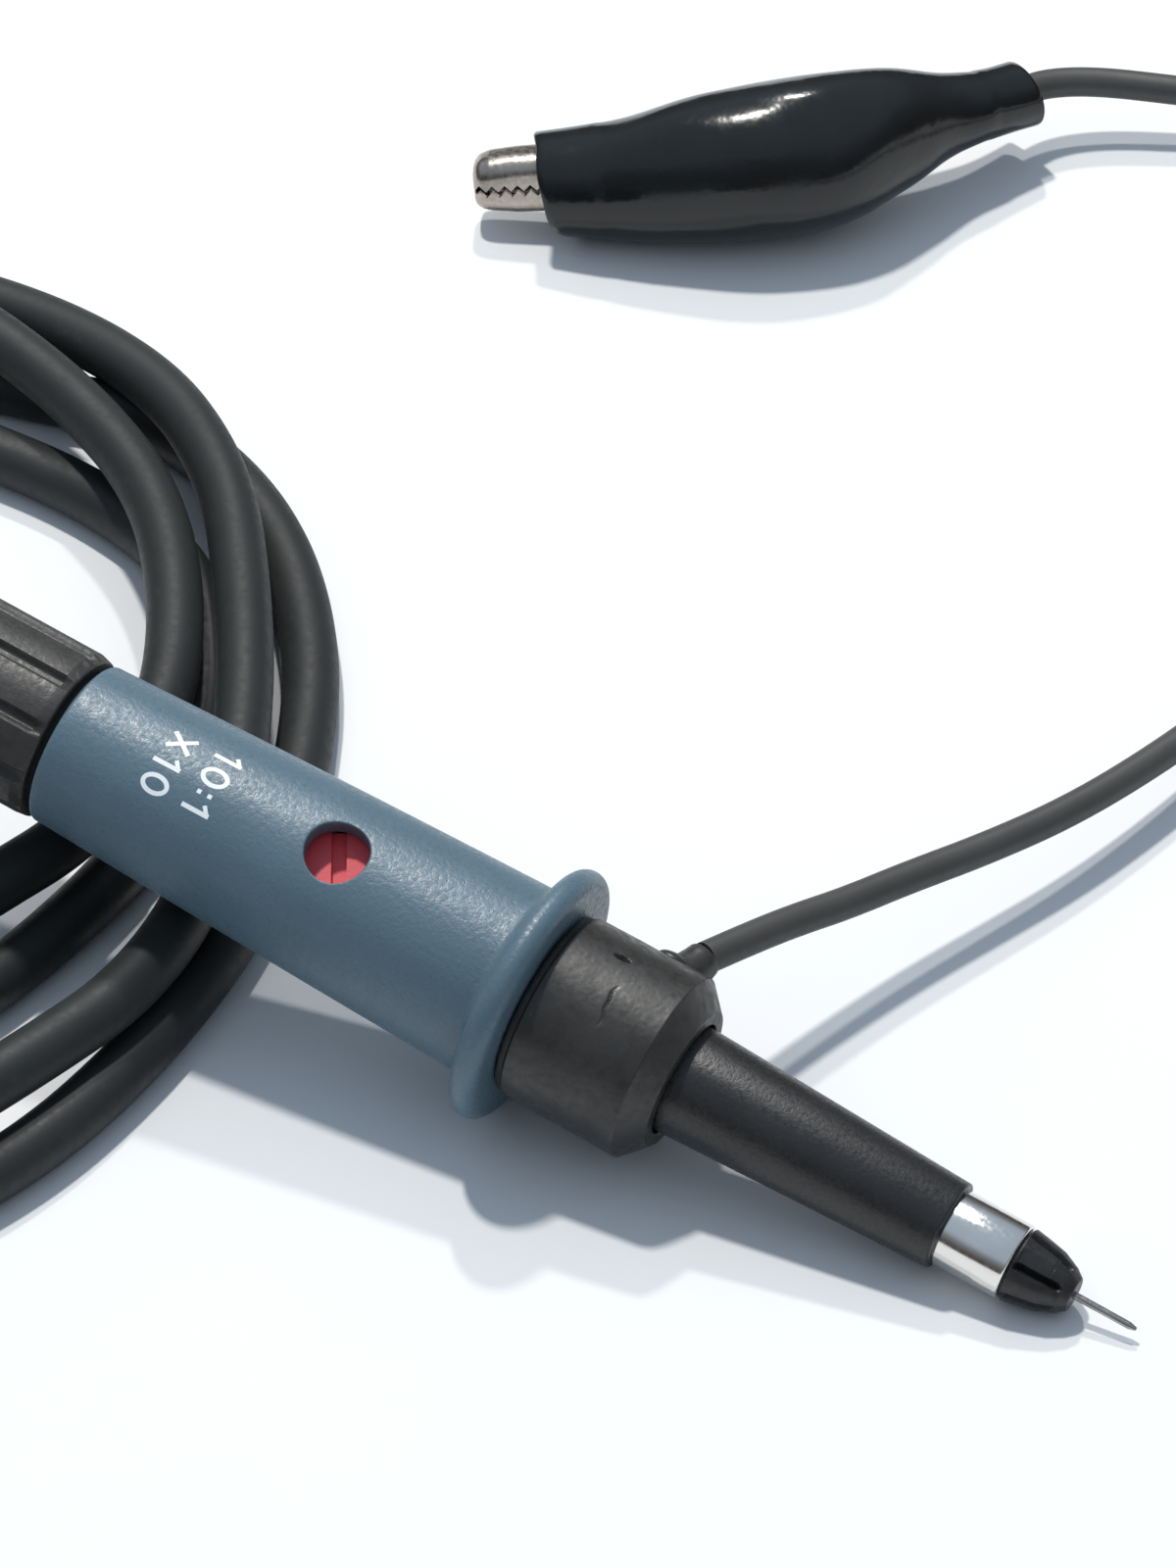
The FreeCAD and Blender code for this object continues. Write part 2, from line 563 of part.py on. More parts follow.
b = revolve("bnc_coax_end", [("0", "0.02"), ("coax_rad", "0.02"), ("coax_rad", "15.5"), ("0.95", "15.5"),
                             ("0.95", "18.5"), ("0", "18.5")])
b.Placement = PLUG
b = revolve("bnc_ferrule", [("coax_fit_rad", "11.0"), ("bnc_ferrule_rad", "11.0"), ("bnc_ferrule_rad", "17.4"),
                            ("coax_fit_rad", "17.4")])
b.Placement = PLUG
b = revolve("bnc_shell", [
    ("1.0", "17.4"), ("4.4", "17.4"), ("4.4", "19.2"), ("5.9", "19.2"), ("5.9", "20.6"), ("4.75", "20.6"), ("4.75", "24.8"),
    ("bnc_shell_rad", "25.0"), ("bnc_shell_rad", "33.2"), ("bnc_shell_rad - 0.2", "33.4"),
    ("bnc_shell_bore_rad", "33.4"), ("bnc_shell_bore_rad", "21.0"), ("1.0", "21.0")])
b.Placement = PLUG
b = revolve("bnc_insulator", [
    ("0.49", "21.0"), ("bnc_shell_bore_rad + 0.01", "21.0"), ("bnc_shell_bore_rad + 0.01", "26.6"),
    ("0.49", "26.6")])
b.Placement = PLUG
b = revolve("bnc_centre_pin", [
    ("0", "18.5"), ("0.50", "18.5"), ("0.50", "26.7"), ("bnc_pin_rad", "26.7"), ("bnc_pin_rad", "32.6"), ("0.30", "33.2"), ("0", "33.2")])
b.Placement = PLUG
b = revolve("bnc_coupling_nut", [
    ("5.95", "18.9"), ("bnc_nut_rad - 0.8", "18.9"), ("bnc_nut_rad - 0.1", "19.6"), ("bnc_nut_rad - 0.1", "21.0"),
    ("bnc_nut_rad - 0.5", "21.3"), ("bnc_nut_rad - 0.5", "27.6"), ("bnc_nut_rad - 0.1", "27.9"),
    ("bnc_nut_rad - 0.1", "28.9"), ("bnc_nut_rad - 0.55", "29.2"), ("bnc_nut_rad - 0.55", "33.9"),
    ("bnc_nut_bore_rad", "33.9"), ("bnc_nut_bore_rad", "22.6"), ("5.95", "22.6")])
sk = circles(b, "nut_grip_outline", [("bnc_nut_rad + 0.05", "0", "0.85")], "XY_Plane", "27.0")
p = pocket(b, "nut_grip", sk, "5.0")
polar(b, "nut_grips", p, "16")
for k, (x0, x1) in enumerate((("4.0", "8.5"), ("0.0 - 8.5", "0.0 - 4.0"))):
    sk = polygon(b, "nut_slot_outline_%d" % k, [(x0, "0.0 - 1.05"), (x1, "0.0 - 1.05"), (x1, "1.05"), (x0, "1.05")],
                 "XY_Plane", "34.2")
    pocket(b, "nut_slot_%d" % k, sk, "4.6")
for k, yy in enumerate(("0.0 - 1.5", "1.5")):
    sk = circles(b, "nut_latch_outline_%d" % k, [("0", "29.9", "1.05")], "YZ_Plane")
    pocket(b, "nut_latch_%d" % k, sk, "9.0", rev=bool(k))
b.Placement = PLUG
b = revolve("bnc_spring_washer", [("4.80", "20.6"), ("5.85", "20.6"), ("5.85", "21.2"), ("4.80", "21.2")])
b.Placement = PLUG
b = revolve("bnc_gasket", [("4.04", "25.1"), ("4.80", "25.1"), ("4.80", "26.0"), ("4.04", "26.0")])
b.Placement = PLUG

# ---------------------------------------------------------------- alligator clip
hd, pt, rl = (math.radians(D[k]) for k in ("clip_heading_deg", "clip_pitch_deg", "clip_roll_deg"))
CX = V3(math.cos(hd) * math.cos(pt), math.sin(hd) * math.cos(pt), math.sin(pt))     # jaw tip to rear
side = V3(-math.sin(hd), math.cos(hd), 0)
lift = CX.cross(side)
CZ = lift * math.cos(rl) + side * math.sin(rl)
CY = CZ.cross(CX)
JAW = V3(-36.6, 72.7, 3.0)
CLIP = FreeCAD.Placement(JAW, FreeCAD.Rotation(CX, CY, CZ, "ZXY"))


# ---------------------------------------------------------------- ground lead
LEAD = [tuple(LEAD_EXIT), (19.2, 10.9, 9.1), (20.8, 14.3, 8.1), (22.4, 18.2, 7.1), (24.3, 22.9, 6.3), (26.9, 28.5, 5.4),
        (29.6, 34.8, 4.7), (31.8, 42.0, 4.1), (33.5, 49.6, 3.5), (35.2, 57.6, 2.7), (36.9, 66.0, 1.9), (38.2, 75.0, 1.35),
        (38.8, 84.0, 1.15), (37.4, 92.8, 1.15), (33.4, 100.6, 1.25), (27.2, 106.6, 1.6), (19.4, 109.7, 2.2),
        (11.2, 109.6, 3.0), (3.8, 106.6, 3.7)]
for q in ((40.6, 11.7, 0.1), (36.6, 7.7, 0.1), (33.2, 5.2, -0.3), (30.2, 2.9, -1.3), (27.0, 1.1, -2.2)):
    LEAD.append(tuple(CLIP.multVec(V3(*q))))
tube("ground_lead", LEAD, D["lead_rad"], "lead_rad")

def half(name, outer, inner, width, ears):
    """A folded sheet channel: side walls from `outer`, hollowed by `inner`, open to the mouth."""
    body = new_body(name)
    sk_ = polygon(body, name + "_wall", outer)
    pad(body, name + "_stock", sk_, width, mid=True)
    sk_ = polygon(body, name + "_hollow", inner)
    pocket(body, name + "_fold", sk_, width + " - clip_sheet - clip_sheet", mid=True)
    sk_ = circles(body, name + "_hole", [("clip_hinge_x", "0.3", ears)], "XZ_Plane")
    pocket(body, name + "_bore", sk_, "8.0", mid=True)
    body.Placement = CLIP
    return body


low_teeth = []
for k in range(7):
    x = 0.9 + 0.9 * k
    low_teeth += [(str(round(x, 3)), "0.0 - 0.55"), (str(round(x + 0.45, 3)), "0.0 - 0.05")]
half("clip_lower_jaw",
     [("0.25", "0.0 - 1.25"), ("1.0", "0.0 - 1.75"), ("3.0", "0.0 - 2.0"), ("12.0", "0.0 - 2.15"), ("18.0", "0.0 - 2.6"),
      ("22.0", "0.0 - 3.3"), ("25.5", "0.0 - 3.3"), ("25.5", "0.0 - 2.3"), ("22.0", "0.0 - 2.0"), ("18.5", "0.0 - 0.9"),
      ("17.2", "1.3"), ("13.8", "1.3"), ("12.4", "0.0 - 0.5"), ("8.6", "0.0 - 0.5")] + low_teeth[::-1] + [("0.25", "0.0 - 0.3")],
     [("0.6", "0.0 - 1.0"), ("1.2", "0.0 - 1.4"), ("3.0", "0.0 - 1.65"), ("12.0", "0.0 - 1.8"), ("18.0", "0.0 - 2.25"),
      ("22.0", "0.0 - 2.95"), ("26.0", "0.0 - 2.95"), ("26.0", "2.0"), ("0.6", "2.0")],
     "clip_low_width", "clip_pin_rad + 0.03")
up_teeth = []
for k in range(7):
    x = 0.9 + 0.9 * k
    up_teeth += [(str(round(x, 3)), "0.10"), (str(round(x + 0.45, 3)), "0.55")]
half("clip_upper_jaw",
     [("0.0", "0.6"), ("0.2", "1.6"), ("1.2", "2.2"), ("3.0", "2.45"), ("12.0", "2.8"), ("18.0", "3.7"), ("23.0", "5.2"),
      ("25.0", "5.2"), ("25.0", "3.8"), ("23.0", "3.5"), ("18.5", "1.7"), ("17.2", "0.0 - 0.8"), ("13.8", "0.0 - 0.8"),
      ("12.4", "0.6"), ("8.6", "0.6")] + up_teeth[::-1],
     [("0.4", "0.0 - 2.0"), ("0.5", "1.4"), ("1.35", "1.85"), ("3.0", "2.1"), ("12.0", "2.45"), ("18.0", "3.35"),
      ("23.0", "4.85"), ("25.5", "4.85"), ("25.5", "0.0 - 2.0")],
     "clip_up_width", "clip_pin_rad + 0.03")
b = new_body("clip_pin")
sk = circles(b, "pin_outline", [("clip_hinge_x", "0.3", "clip_pin_rad")], "XZ_Plane")
pad(b, "pin_rod", sk, "4.6", mid=True)
b.Placement = CLIP

# torsion spring on the pin: three turns and two legs that press the handles apart
turns = []
for k, yy in enumerate((-0.5, 0.0, 0.5)):
    t = doc.addObject("Part::Torus", "spring_turn_%d" % k)
    t.Radius1 = 1.05
    t.Radius2 = 0.28
    t.Placement = FreeCAD.Placement(V3(D["clip_hinge_x"], yy, 0.3), FreeCAD.Rotation(V3(1, 0, 0), 90))
    turns.append(t)
for k, (z1, yy, ln, ang) in enumerate(((1.35, 0.5, 8.6, 70.0), (-0.75, -0.5, 8.6, 102.0))):
    c = doc.addObject("Part::Cylinder", "spring_leg_%d" % k)
    c.Radius = 0.28
    c.Height = ln
    c.Placement = FreeCAD.Placement(V3(D["clip_hinge_x"], yy, z1), FreeCAD.Rotation(V3(0, 1, 0), ang))
    turns.append(c)
sf = doc.addObject("Part::MultiFuse", "clip_spring")
sf.Shapes = turns
sf.Label = "clip_spring"
doc.recompute()
sf.Placement = CLIP
NODES.append(sf)

# soft boot: a thin skin lofted through ellipses along its bent centre line
BOOT = [  # x, y, z, height, width
    (5.6, -0.1, 0.35, 7.2, 7.2), (10.0, -0.40, 0.60, 8.7, 8.0), (15.0, -0.50, 0.85, 10.4, 9.0),
    (20.0, 0.0, 1.05, 11.7, 10.2), (24.5, 0.9, 1.1, 11.9, 10.4), (28.5, 2.4, 0.9, 10.9, 9.0),
    (32.0, 4.4, 0.4, 8.4, 6.9), (35.4, 6.8, 0.1, 5.9, 5.4), (38.2, 9.3, 0.1, 4.9, 4.9)]


def skin(grow):
    wires = []
    for i, (x, y, z, hh, ww) in enumerate(BOOT):
        a, c = BOOT[max(i - 1, 0)], BOOT[min(i + 1, len(BOOT) - 1)]
        t = V3(c[0] - a[0], c[1] - a[1], c[2] - a[2])
        t.normalize()
        if grow < 0 and i in (0, len(BOOT) - 1):
            x, y, z = (V3(x, y, z) + t * (-0.4 if i == 0 else 0.4))
        e = Part.Ellipse(V3(0, 0, 0), max(hh, ww) / 2 + grow, min(hh, ww) / 2 + grow)
        w = Part.Wire([e.toShape()])
        yv = V3(0, 0, 1).cross(t)
        yv.normalize()
        zv = t.cross(yv)
        major = zv if hh >= ww else yv
        w.Placement = FreeCAD.Placement(V3(x, y, z), FreeCAD.Rotation(major, t.cross(major), t, "ZXY"))
        wires.append(w)
    return Part.makeLoft(wires, True, False)


bf = doc.addObject("Part::Feature", "clip_boot")
bf.Label = "clip_boot"
bf.Shape = skin(0.0).cut(skin(-D["boot_wall"]))
bf.Placement = CLIP
NODES.append(bf)

# crimp that holds the lead's end to the fixed handle
cr = doc.addObject("Part::Cylinder", "crimp_body")
cr.Radius = 1.30
cr.Height = 4.0
crh = doc.addObject("Part::Cylinder", "crimp_hole")
crh.Radius = D["lead_rad"] + 0.02
crh.Height = 2.4
cc = doc.addObject("Part::Cut", "lead_crimp")
cc.Base = cr
cc.Tool = crh
cc.Label = "lead_crimp"
doc.recompute()
end_a, end_b = V3(*LEAD[-2]), V3(*LEAD[-1])
dirn = end_b - end_a
dirn.normalize()
cc.Placement = FreeCAD.Placement(end_b - dirn * 2.4, FreeCAD.Rotation(V3(0, 0, 1), dirn))
NODES.append(cc)

# ---------------------------------------------------------------- checks and export
doc.recompute()
bad = [o.Name for o in doc.Objects if "Invalid" in o.State or "Error" in o.State]
if bad:
    raise RuntimeError("failed objects: %s" % bad)
os.makedirs("parts", exist_ok=True)
total = FreeCAD.BoundBox()
for n in NODES:
    s = n.Shape
    if s.isNull() or not s.isValid() or s.Volume <= 0:
        raise RuntimeError("bad shape: %s" % n.Label)
    bb = s.optimalBoundingBox(False, False)
    total.add(bb)
    print("%-18s solids %d vol %9.1f  x %.1f..%.1f y %.1f..%.1f z %.2f..%.2f" % (
        n.Label, len(s.Solids), s.Volume, bb.XMin, bb.XMax, bb.YMin, bb.YMax, bb.ZMin, bb.ZMax))
    s.exportStep("parts/%s.step" % n.Label)
print("nodes", len(NODES), "box", total)
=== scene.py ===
import bpy
import bmesh
import math
import numpy as np
from mathutils import Vector, Matrix, noise


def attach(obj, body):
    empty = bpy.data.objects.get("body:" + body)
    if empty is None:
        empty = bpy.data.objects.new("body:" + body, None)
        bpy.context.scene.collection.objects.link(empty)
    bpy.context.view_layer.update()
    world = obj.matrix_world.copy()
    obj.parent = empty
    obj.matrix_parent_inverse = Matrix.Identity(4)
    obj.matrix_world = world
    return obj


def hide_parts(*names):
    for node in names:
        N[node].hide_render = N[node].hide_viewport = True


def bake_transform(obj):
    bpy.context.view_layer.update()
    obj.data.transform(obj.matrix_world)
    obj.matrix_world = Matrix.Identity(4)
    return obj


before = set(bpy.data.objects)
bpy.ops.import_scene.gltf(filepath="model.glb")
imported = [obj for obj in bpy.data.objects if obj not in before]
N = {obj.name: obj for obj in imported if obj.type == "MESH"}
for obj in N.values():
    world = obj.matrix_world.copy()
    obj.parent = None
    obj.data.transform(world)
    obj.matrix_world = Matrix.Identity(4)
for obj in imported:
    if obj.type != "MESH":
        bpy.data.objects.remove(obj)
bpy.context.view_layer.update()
MM = 0.001

# ------------------------------------------------------------------ camera
eye = Vector((0.183568, -0.295898, 0.349040))
aim = Vector((-0.000819, 0.026142, 0.0))
right = Vector((0.867819, 0.496880, 0.0))
back = (eye - aim).normalized()
up = back.cross(right)
cam = bpy.data.cameras.new("camera")
cam.lens = 180.0
cam.sensor_width = 36.0
cam.clip_start = 0.01
cam_ob = bpy.data.objects.new("camera", cam)
cam_ob.matrix_world = Matrix.Translation(eye) @ Matrix((right, up, back)).transposed().to_4x4()
bpy.context.collection.objects.link(cam_ob)
bpy.context.scene.camera = cam_ob

# ------------------------------------------------------------------ head frame
PITCH = math.radians(10.256)
AX = Vector((math.cos(PITCH), 0, -math.sin(PITCH)))
UP = Vector((math.sin(PITCH), 0, math.cos(PITCH)))
YY = Vector((0, 1, 0))
GUARD = Vector((10.95, 0, 8.455))
ROLL = math.radians(-20.0)


def spoke(a):
    return UP * math.cos(a) + YY * math.sin(a)


def hp(s, r, a):
    """A point on the head: station, radius and angle from the top towards +Y, in mm; gives metres."""
    return (GUARD + AX * s + spoke(a) * r) * MM


# ------------------------------------------------------------------ materials
def nd(nt, kind, **inputs):
    n = nt.nodes.new(kind)
    for k, v in inputs.items():
        n.inputs[k.replace("_", " ")].default_value = v
    return n


def material(name, base, rough=0.5, metal=0.0, tint=0.12, patch=260.0, grain=2500.0, bump=0.10, depth=0.00003,
             rvar=0.08, spec=0.5, coat=0.0, coat_rough=0.1, dust=0.0, stretch=(1, 1, 1), light=None, turn=(0, 0, 0)):
    m = bpy.data.materials.new(name)
    m.use_nodes = True
    nt = m.node_tree
    sh = nt.nodes["Principled BSDF"]
    sh.inputs["Metallic"].default_value = metal
    sh.inputs["Specular IOR Level"].default_value = spec
    sh.inputs["Coat Weight"].default_value = coat
    sh.inputs["Coat Roughness"].default_value = coat_rough
    co = nt.nodes.new("ShaderNodeTexCoord")
    mp = nt.nodes.new("ShaderNodeMapping")
    mp.inputs["Scale"].default_value = stretch
    mp.inputs["Rotation"].default_value = turn
    nt.links.new(co.outputs["Object"], mp.inputs["Vector"])
    big = nd(nt, "ShaderNodeTexNoise", Scale=patch, Detail=4.0, Roughness=0.6)
    fine = nd(nt, "ShaderNodeTexNoise", Scale=grain, Detail=3.0, Roughness=0.65)
    for n in (big, fine):
        nt.links.new(mp.outputs["Vector"], n.inputs["Vector"])
    ramp = nt.nodes.new("ShaderNodeValToRGB")
    lo = [max(0.0, c * (1 - tint)) for c in base]
    hi = light or [min(1.0, c * (1 + tint)) for c in base]
    ramp.color_ramp.elements[0].position = 0.32
    ramp.color_ramp.elements[0].color = (*lo, 1)
    ramp.color_ramp.elements[1].position = 0.70
    ramp.color_ramp.elements[1].color = (*hi, 1)
    nt.links.new(big.outputs["Fac"], ramp.inputs["Fac"])
    colour = ramp.outputs["Color"]
    if dust > 0:
        spots = nd(nt, "ShaderNodeTexNoise", Scale=grain * 0.35, Detail=5.0, Roughness=0.7)
        nt.links.new(mp.outputs["Vector"], spots.inputs["Vector"])
        sr = nt.nodes.new("ShaderNodeValToRGB")
        sr.color_ramp.elements[0].position = 0.60
        sr.color_ramp.elements[0].color = (0, 0, 0, 1)
        sr.color_ramp.elements[1].position = 0.78
        sr.color_ramp.elements[1].color = (dust, dust, dust, 1)
        nt.links.new(spots.outputs["Fac"], sr.inputs["Fac"])
        mix = nt.nodes.new("ShaderNodeMix")
        mix.data_type = "RGBA"
        mix.inputs["B"].default_value = (0.30, 0.29, 0.27, 1)
        for s_ in mix.inputs:
            if s_.name == "B" and s_.type == "RGBA":
                s_.default_value = (0.30, 0.29, 0.27, 1)
        fac = [s_ for s_ in mix.inputs if s_.name == "Factor" and s_.type == "VALUE"][0]
        ca = [s_ for s_ in mix.inputs if s_.name == "A" and s_.type == "RGBA"][0]
        nt.links.new(sr.outputs["Color"], fac)
        nt.links.new(colour, ca)
        colour = [o for o in mix.outputs if o.type == "RGBA"][0]
    nt.links.new(colour, sh.inputs["Base Color"])
    rr = nt.nodes.new("ShaderNodeMapRange")
    rr.inputs["From Min"].default_value = 0.3
    rr.inputs["From Max"].default_value = 0.7
    rr.inputs["To Min"].default_value = max(0.02, rough - rvar)
    rr.inputs["To Max"].default_value = min(1.0, rough + rvar)
    nt.links.new(fine.outputs["Fac"], rr.inputs["Value"])
    nt.links.new(rr.outputs["Result"], sh.inputs["Roughness"])
    bp = nt.nodes.new("ShaderNodeBump")
    bp.inputs["Strength"].default_value = bump
    bp.inputs["Distance"].default_value = depth
    nt.links.new(fine.outputs["Fac"], bp.inputs["Height"])
    nt.links.new(bp.outputs["Normal"], sh.inputs["Normal"])
    if coat > 0:
        nt.links.new(bp.outputs["Normal"], sh.inputs["Coat Normal"])
    return m


M = {
    "blue": material("blue_satin_plastic", (0.095, 0.160, 0.208), rough=0.40, tint=0.06, patch=120, grain=3000, bump=0.75, depth=0.00006, rvar=0.16, spec=0.5),
    "paint": material("white_marking", (0.86, 0.90, 0.92), rough=0.5, tint=0.03, grain=4000, bump=0.1),
    "tail": material("black_grip_plastic", (0.031, 0.030, 0.028), rough=0.46, tint=0.3, patch=500, grain=2600, bump=0.55, depth=0.00005, rvar=0.14, dust=0.35),
    "rubber": material("collar_rubber", (0.026, 0.025, 0.023), rough=0.42, tint=0.3, patch=300, grain=1500, bump=0.30, depth=0.00004, rvar=0.14, dust=0.10),
    "nose": material("nose_black_plastic", (0.017, 0.017, 0.017), rough=0.36, tint=0.2, patch=400, grain=3600, bump=0.60, depth=0.00004, rvar=0.12),
    "cable": material("cable_jacket", (0.021, 0.024, 0.024), rough=0.55, spec=0.36, tint=0.12, patch=90, grain=1600, bump=0.10, depth=0.00003, rvar=0.08, dust=0.05),
    "lead": material("lead_jacket", (0.058, 0.058, 0.056), rough=0.50, tint=0.12, patch=120, grain=2200, bump=0.12, depth=0.00002, rvar=0.08),
    "vinyl": material("clip_boot_vinyl", (0.010, 0.012, 0.013), rough=0.16, tint=0.2, patch=200, grain=380, bump=0.20, depth=0.00025, rvar=0.06, spec=0.42, coat=0.0),
    "nickel": material("bright_nickel", (0.78, 0.76, 0.72), rough=0.14, metal=1.0, tint=0.05, patch=400, grain=3000, bump=0.10, depth=0.00001, rvar=0.05),
    "steel": material("plated_steel", (0.44, 0.39, 0.34), rough=0.28, metal=1.0, tint=0.15, patch=500, grain=2400, bump=0.25, depth=0.00002, rvar=0.10),
    "needle": material("needle_steel", (0.40, 0.37, 0.35), rough=0.22, metal=1.0, tint=0.15, patch=900, grain=5000, bump=0.15, depth=0.00001),
    "spring": material("spring_wire", (0.42, 0.41, 0.40), rough=0.30, metal=1.0, tint=0.12, patch=900, grain=4000, bump=0.15, depth=0.00001),
    "gold": material("gold_plate", (0.80, 0.58, 0.24), rough=0.22, metal=1.0, tint=0.08, patch=500, grain=3000, bump=0.12, depth=0.00001),
    "copper": material("bare_copper", (0.72, 0.36, 0.20), rough=0.30, metal=1.0, tint=0.1, patch=500, grain=3000, bump=0.12, depth=0.00001),
    "red": material("rotor_red", (0.86, 0.085, 0.105), rough=0.42, tint=0.12, patch=600, grain=3000, bump=0.35, depth=0.00003, rvar=0.10),
    "white": material("ceramic_white", (0.80, 0.78, 0.73), rough=0.55, tint=0.05, patch=400, grain=2500, bump=0.2),
    "green": material("solder_mask", (0.02, 0.12, 0.05), rough=0.35, tint=0.15, patch=500, grain=2500, bump=0.15),
    "dielectric": material("dielectric_white", (0.82, 0.82, 0.80), rough=0.40, tint=0.03, patch=300, grain=1800, bump=0.12),
    "tip": material("tip_black_plastic", (0.016, 0.016, 0.016), rough=0.40, tint=0.25, patch=700, grain=2600, bump=0.45, depth=0.00004, rvar=0.14, dust=0.12),
    # near-black: painted gap shade, darker than the black plastics so the joint between tail grip and barrel reads as
    # shadowed
    "dark": material("painted_gap_shade", (0.008, 0.008, 0.008), rough=0.8, tint=0.2, patch=600, grain=3000, bump=0.1),
}


# ------------------------------------------------------------------ mesh helpers
def piece(name, verts, faces, mat, body, sharp=32, weld=True):
    me = bpy.data.meshes.new(name)
    me.from_pydata([tuple(v) for v in verts], [], faces)
    bm = bmesh.new()
    bm.from_mesh(me)
    if weld:
        bmesh.ops.remove_doubles(bm, verts=bm.verts, dist=1e-7)
    bmesh.ops.recalc_face_normals(bm, faces=bm.faces)
    bm.to_mesh(me)
    bm.free()
    me.shade_smooth()
    me.set_sharp_from_angle(angle=math.radians(sharp))
    ob = bpy.data.objects.new(name, me)
    bpy.context.collection.objects.link(ob)
    me.materials.append(mat)
    if body:
        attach(ob, body)
    return ob


def outline(*corners, steps=6):
    """A turned outline from corners (station, radius, rounding)."""
    out = []
    n = len(corners)
    for i, c in enumerate(corners):
        p = Vector((c[0], c[1]))
        rad = c[2] if len(c) > 2 else 0
        if rad <= 0 or i in (0, n - 1):
            out.append((p.x, p.y))
            continue
        a = Vector(corners[i - 1][:2]) - p
        b = Vector(corners[i + 1][:2]) - p
        la, lb = a.length, b.length
        a.normalize()
        b.normalize()
        half = a.angle(b) / 2
        t = min(rad / math.tan(half), 0.49 * la, 0.49 * lb)
        r = t * math.tan(half)
        mid = p + (a + b).normalized() * (r / math.sin(half))
        s0, s1 = p + a * t - mid, p + b * t - mid
        for k in range(steps + 1):
            f = k / steps
            ang0, ang1 = math.atan2(s0.y, s0.x), math.atan2(s1.y, s1.x)
            d = (ang1 - ang0 + math.pi) % (2 * math.pi) - math.pi
            out.append((mid.x + r * math.cos(ang0 + d * f), mid.y + r * math.sin(ang0 + d * f)))
    return out


def turned(name, prof, mat, body, seg=160, shape=None, sharp=32, place=hp):
    """Turns an open outline round the head axis. shape(s, r, a) can change the radius."""
    verts, faces = [], []
    for s, r in prof:
        for k in range(seg):
            a = 2 * math.pi * k / seg
            rr = shape(s, r, a) if shape else r
            verts.append(place(s, rr, a))
    for i in range(len(prof) - 1):
        for k in range(seg):
            k2 = (k + 1) % seg
            faces.append((i * seg + k, i * seg + k2, (i + 1) * seg + k2, (i + 1) * seg + k))
    return piece(name, verts, faces, mat, body, sharp)


# ------------------------------------------------------------------ cords
COAX = [(-52.03, 0.00, 19.85), (-60.10, 0.00, 21.31), (-69.20, -1.40, 21.30), (-78.20, 0.90, 19.70), (-85.00, 7.20, 16.90), (-88.30, 15.90, 13.60), (-87.50, 25.20, 10.80),
        (-82.50, 33.30, 8.60), (-74.60, 38.50, 7.30), (-66.00, 39.80, 6.70), (-58.56, 39.80, 6.60), (-46.55, 36.19, 6.50), (-36.42, 30.52, 6.50), (-29.10, 21.80, 6.40),
        (-24.21, 12.09, 6.30), (-23.04, 1.46, 6.10), (-26.09, -7.48, 5.90), (-28.96, -16.60, 5.60), (-34.23, -25.59, 5.00), (-42.69, -33.23, 3.80), (-54.11, -38.16, 2.60),
        (-67.83, -39.24, 2.00), (-81.57, -35.15, 1.90), (-92.87, -25.28, 1.90), (-98.85, -11.56, 1.90), (-98.71, 3.24, 1.90), (-92.69, 17.20, 1.90),
        (-82.11, 27.55, 1.90), (-69.02, 33.02, 1.90), (-54.25, 32.91, 1.90), (-42.91, 32.65, 1.90), (-32.50, 29.25, 1.90), (-25.50, 19.93, 1.90), (-21.38, 6.96, 1.90),
        (-22.58, -8.95, 1.90), (-26.61, -20.07, 1.90), (-33.73, -30.67, 1.90), (-44.70, -39.45, 1.90), (-58.25, -44.17, 1.90), (-73.01, -43.85, 1.90),
        (-87.10, -37.94, 1.90), (-97.72, -27.26, 1.90), (-103.39, -13.66, 1.90), (-103.63, 1.37, 1.90), (-98.45, 15.73, 1.90), (-89.13, 27.05, 1.90),
        (-76.53, 34.74, 1.90), (-62.87, 37.85, 1.90), (-51.62, 39.25, 1.90), (-43.45, 41.56, 1.90), (-31.57, 36.96, 1.90), (-22.19, 27.33, 1.90), (-15.98, 15.49, 1.90),
        (-12.45, 3.22, 1.90), (-11.61, -10.54, 1.90), (-13.41, -23.38, 1.90), (-19.80, -35.95, 1.90), (-30.45, -45.14, 1.90), (-43.77, -50.93, 1.90),
        (-58.49, -52.94, 1.90), (-72.83, -50.95, 1.90), (-86.73, -44.94, 1.90), (-98.21, -34.92, 1.90), (-106.02, -21.59, 1.90), (-109.04, -6.14, 1.90),
        (-106.79, 9.75, 1.90), (-99.20, 24.22, 1.90), (-87.18, 35.63, 2.20), (-72.77, 42.26, 3.00), (-57.71, 44.58, 4.00), (-43.56, 41.80, 5.40), (-33.57, 34.80, 5.90),
        (-26.42, 25.44, 5.90), (-20.02, 15.26, 5.80), (-15.14, 4.32, 5.35), (-13.03, -7.92, 5.30), (-15.75, -19.03, 5.70), (-19.25, -30.13, 6.10), (-24.47, -41.28, 6.20),
        (-32.82, -51.13, 4.40), (-45.38, -57.15, 2.40), (-60.04, -58.38, 1.90), (-75.06, -55.72, 1.90), (-88.69, -49.39, 1.90), (-99.79, -40.59, 1.90),
        (-109.40, -25.80, 1.90), (-114.10, -13.90, 2.40), (-117.20, -1.10, 3.90), (-118.80, 10.80, 5.80), (-119.35, 21.30, 7.00), (-119.40, 32.00, 7.30)]


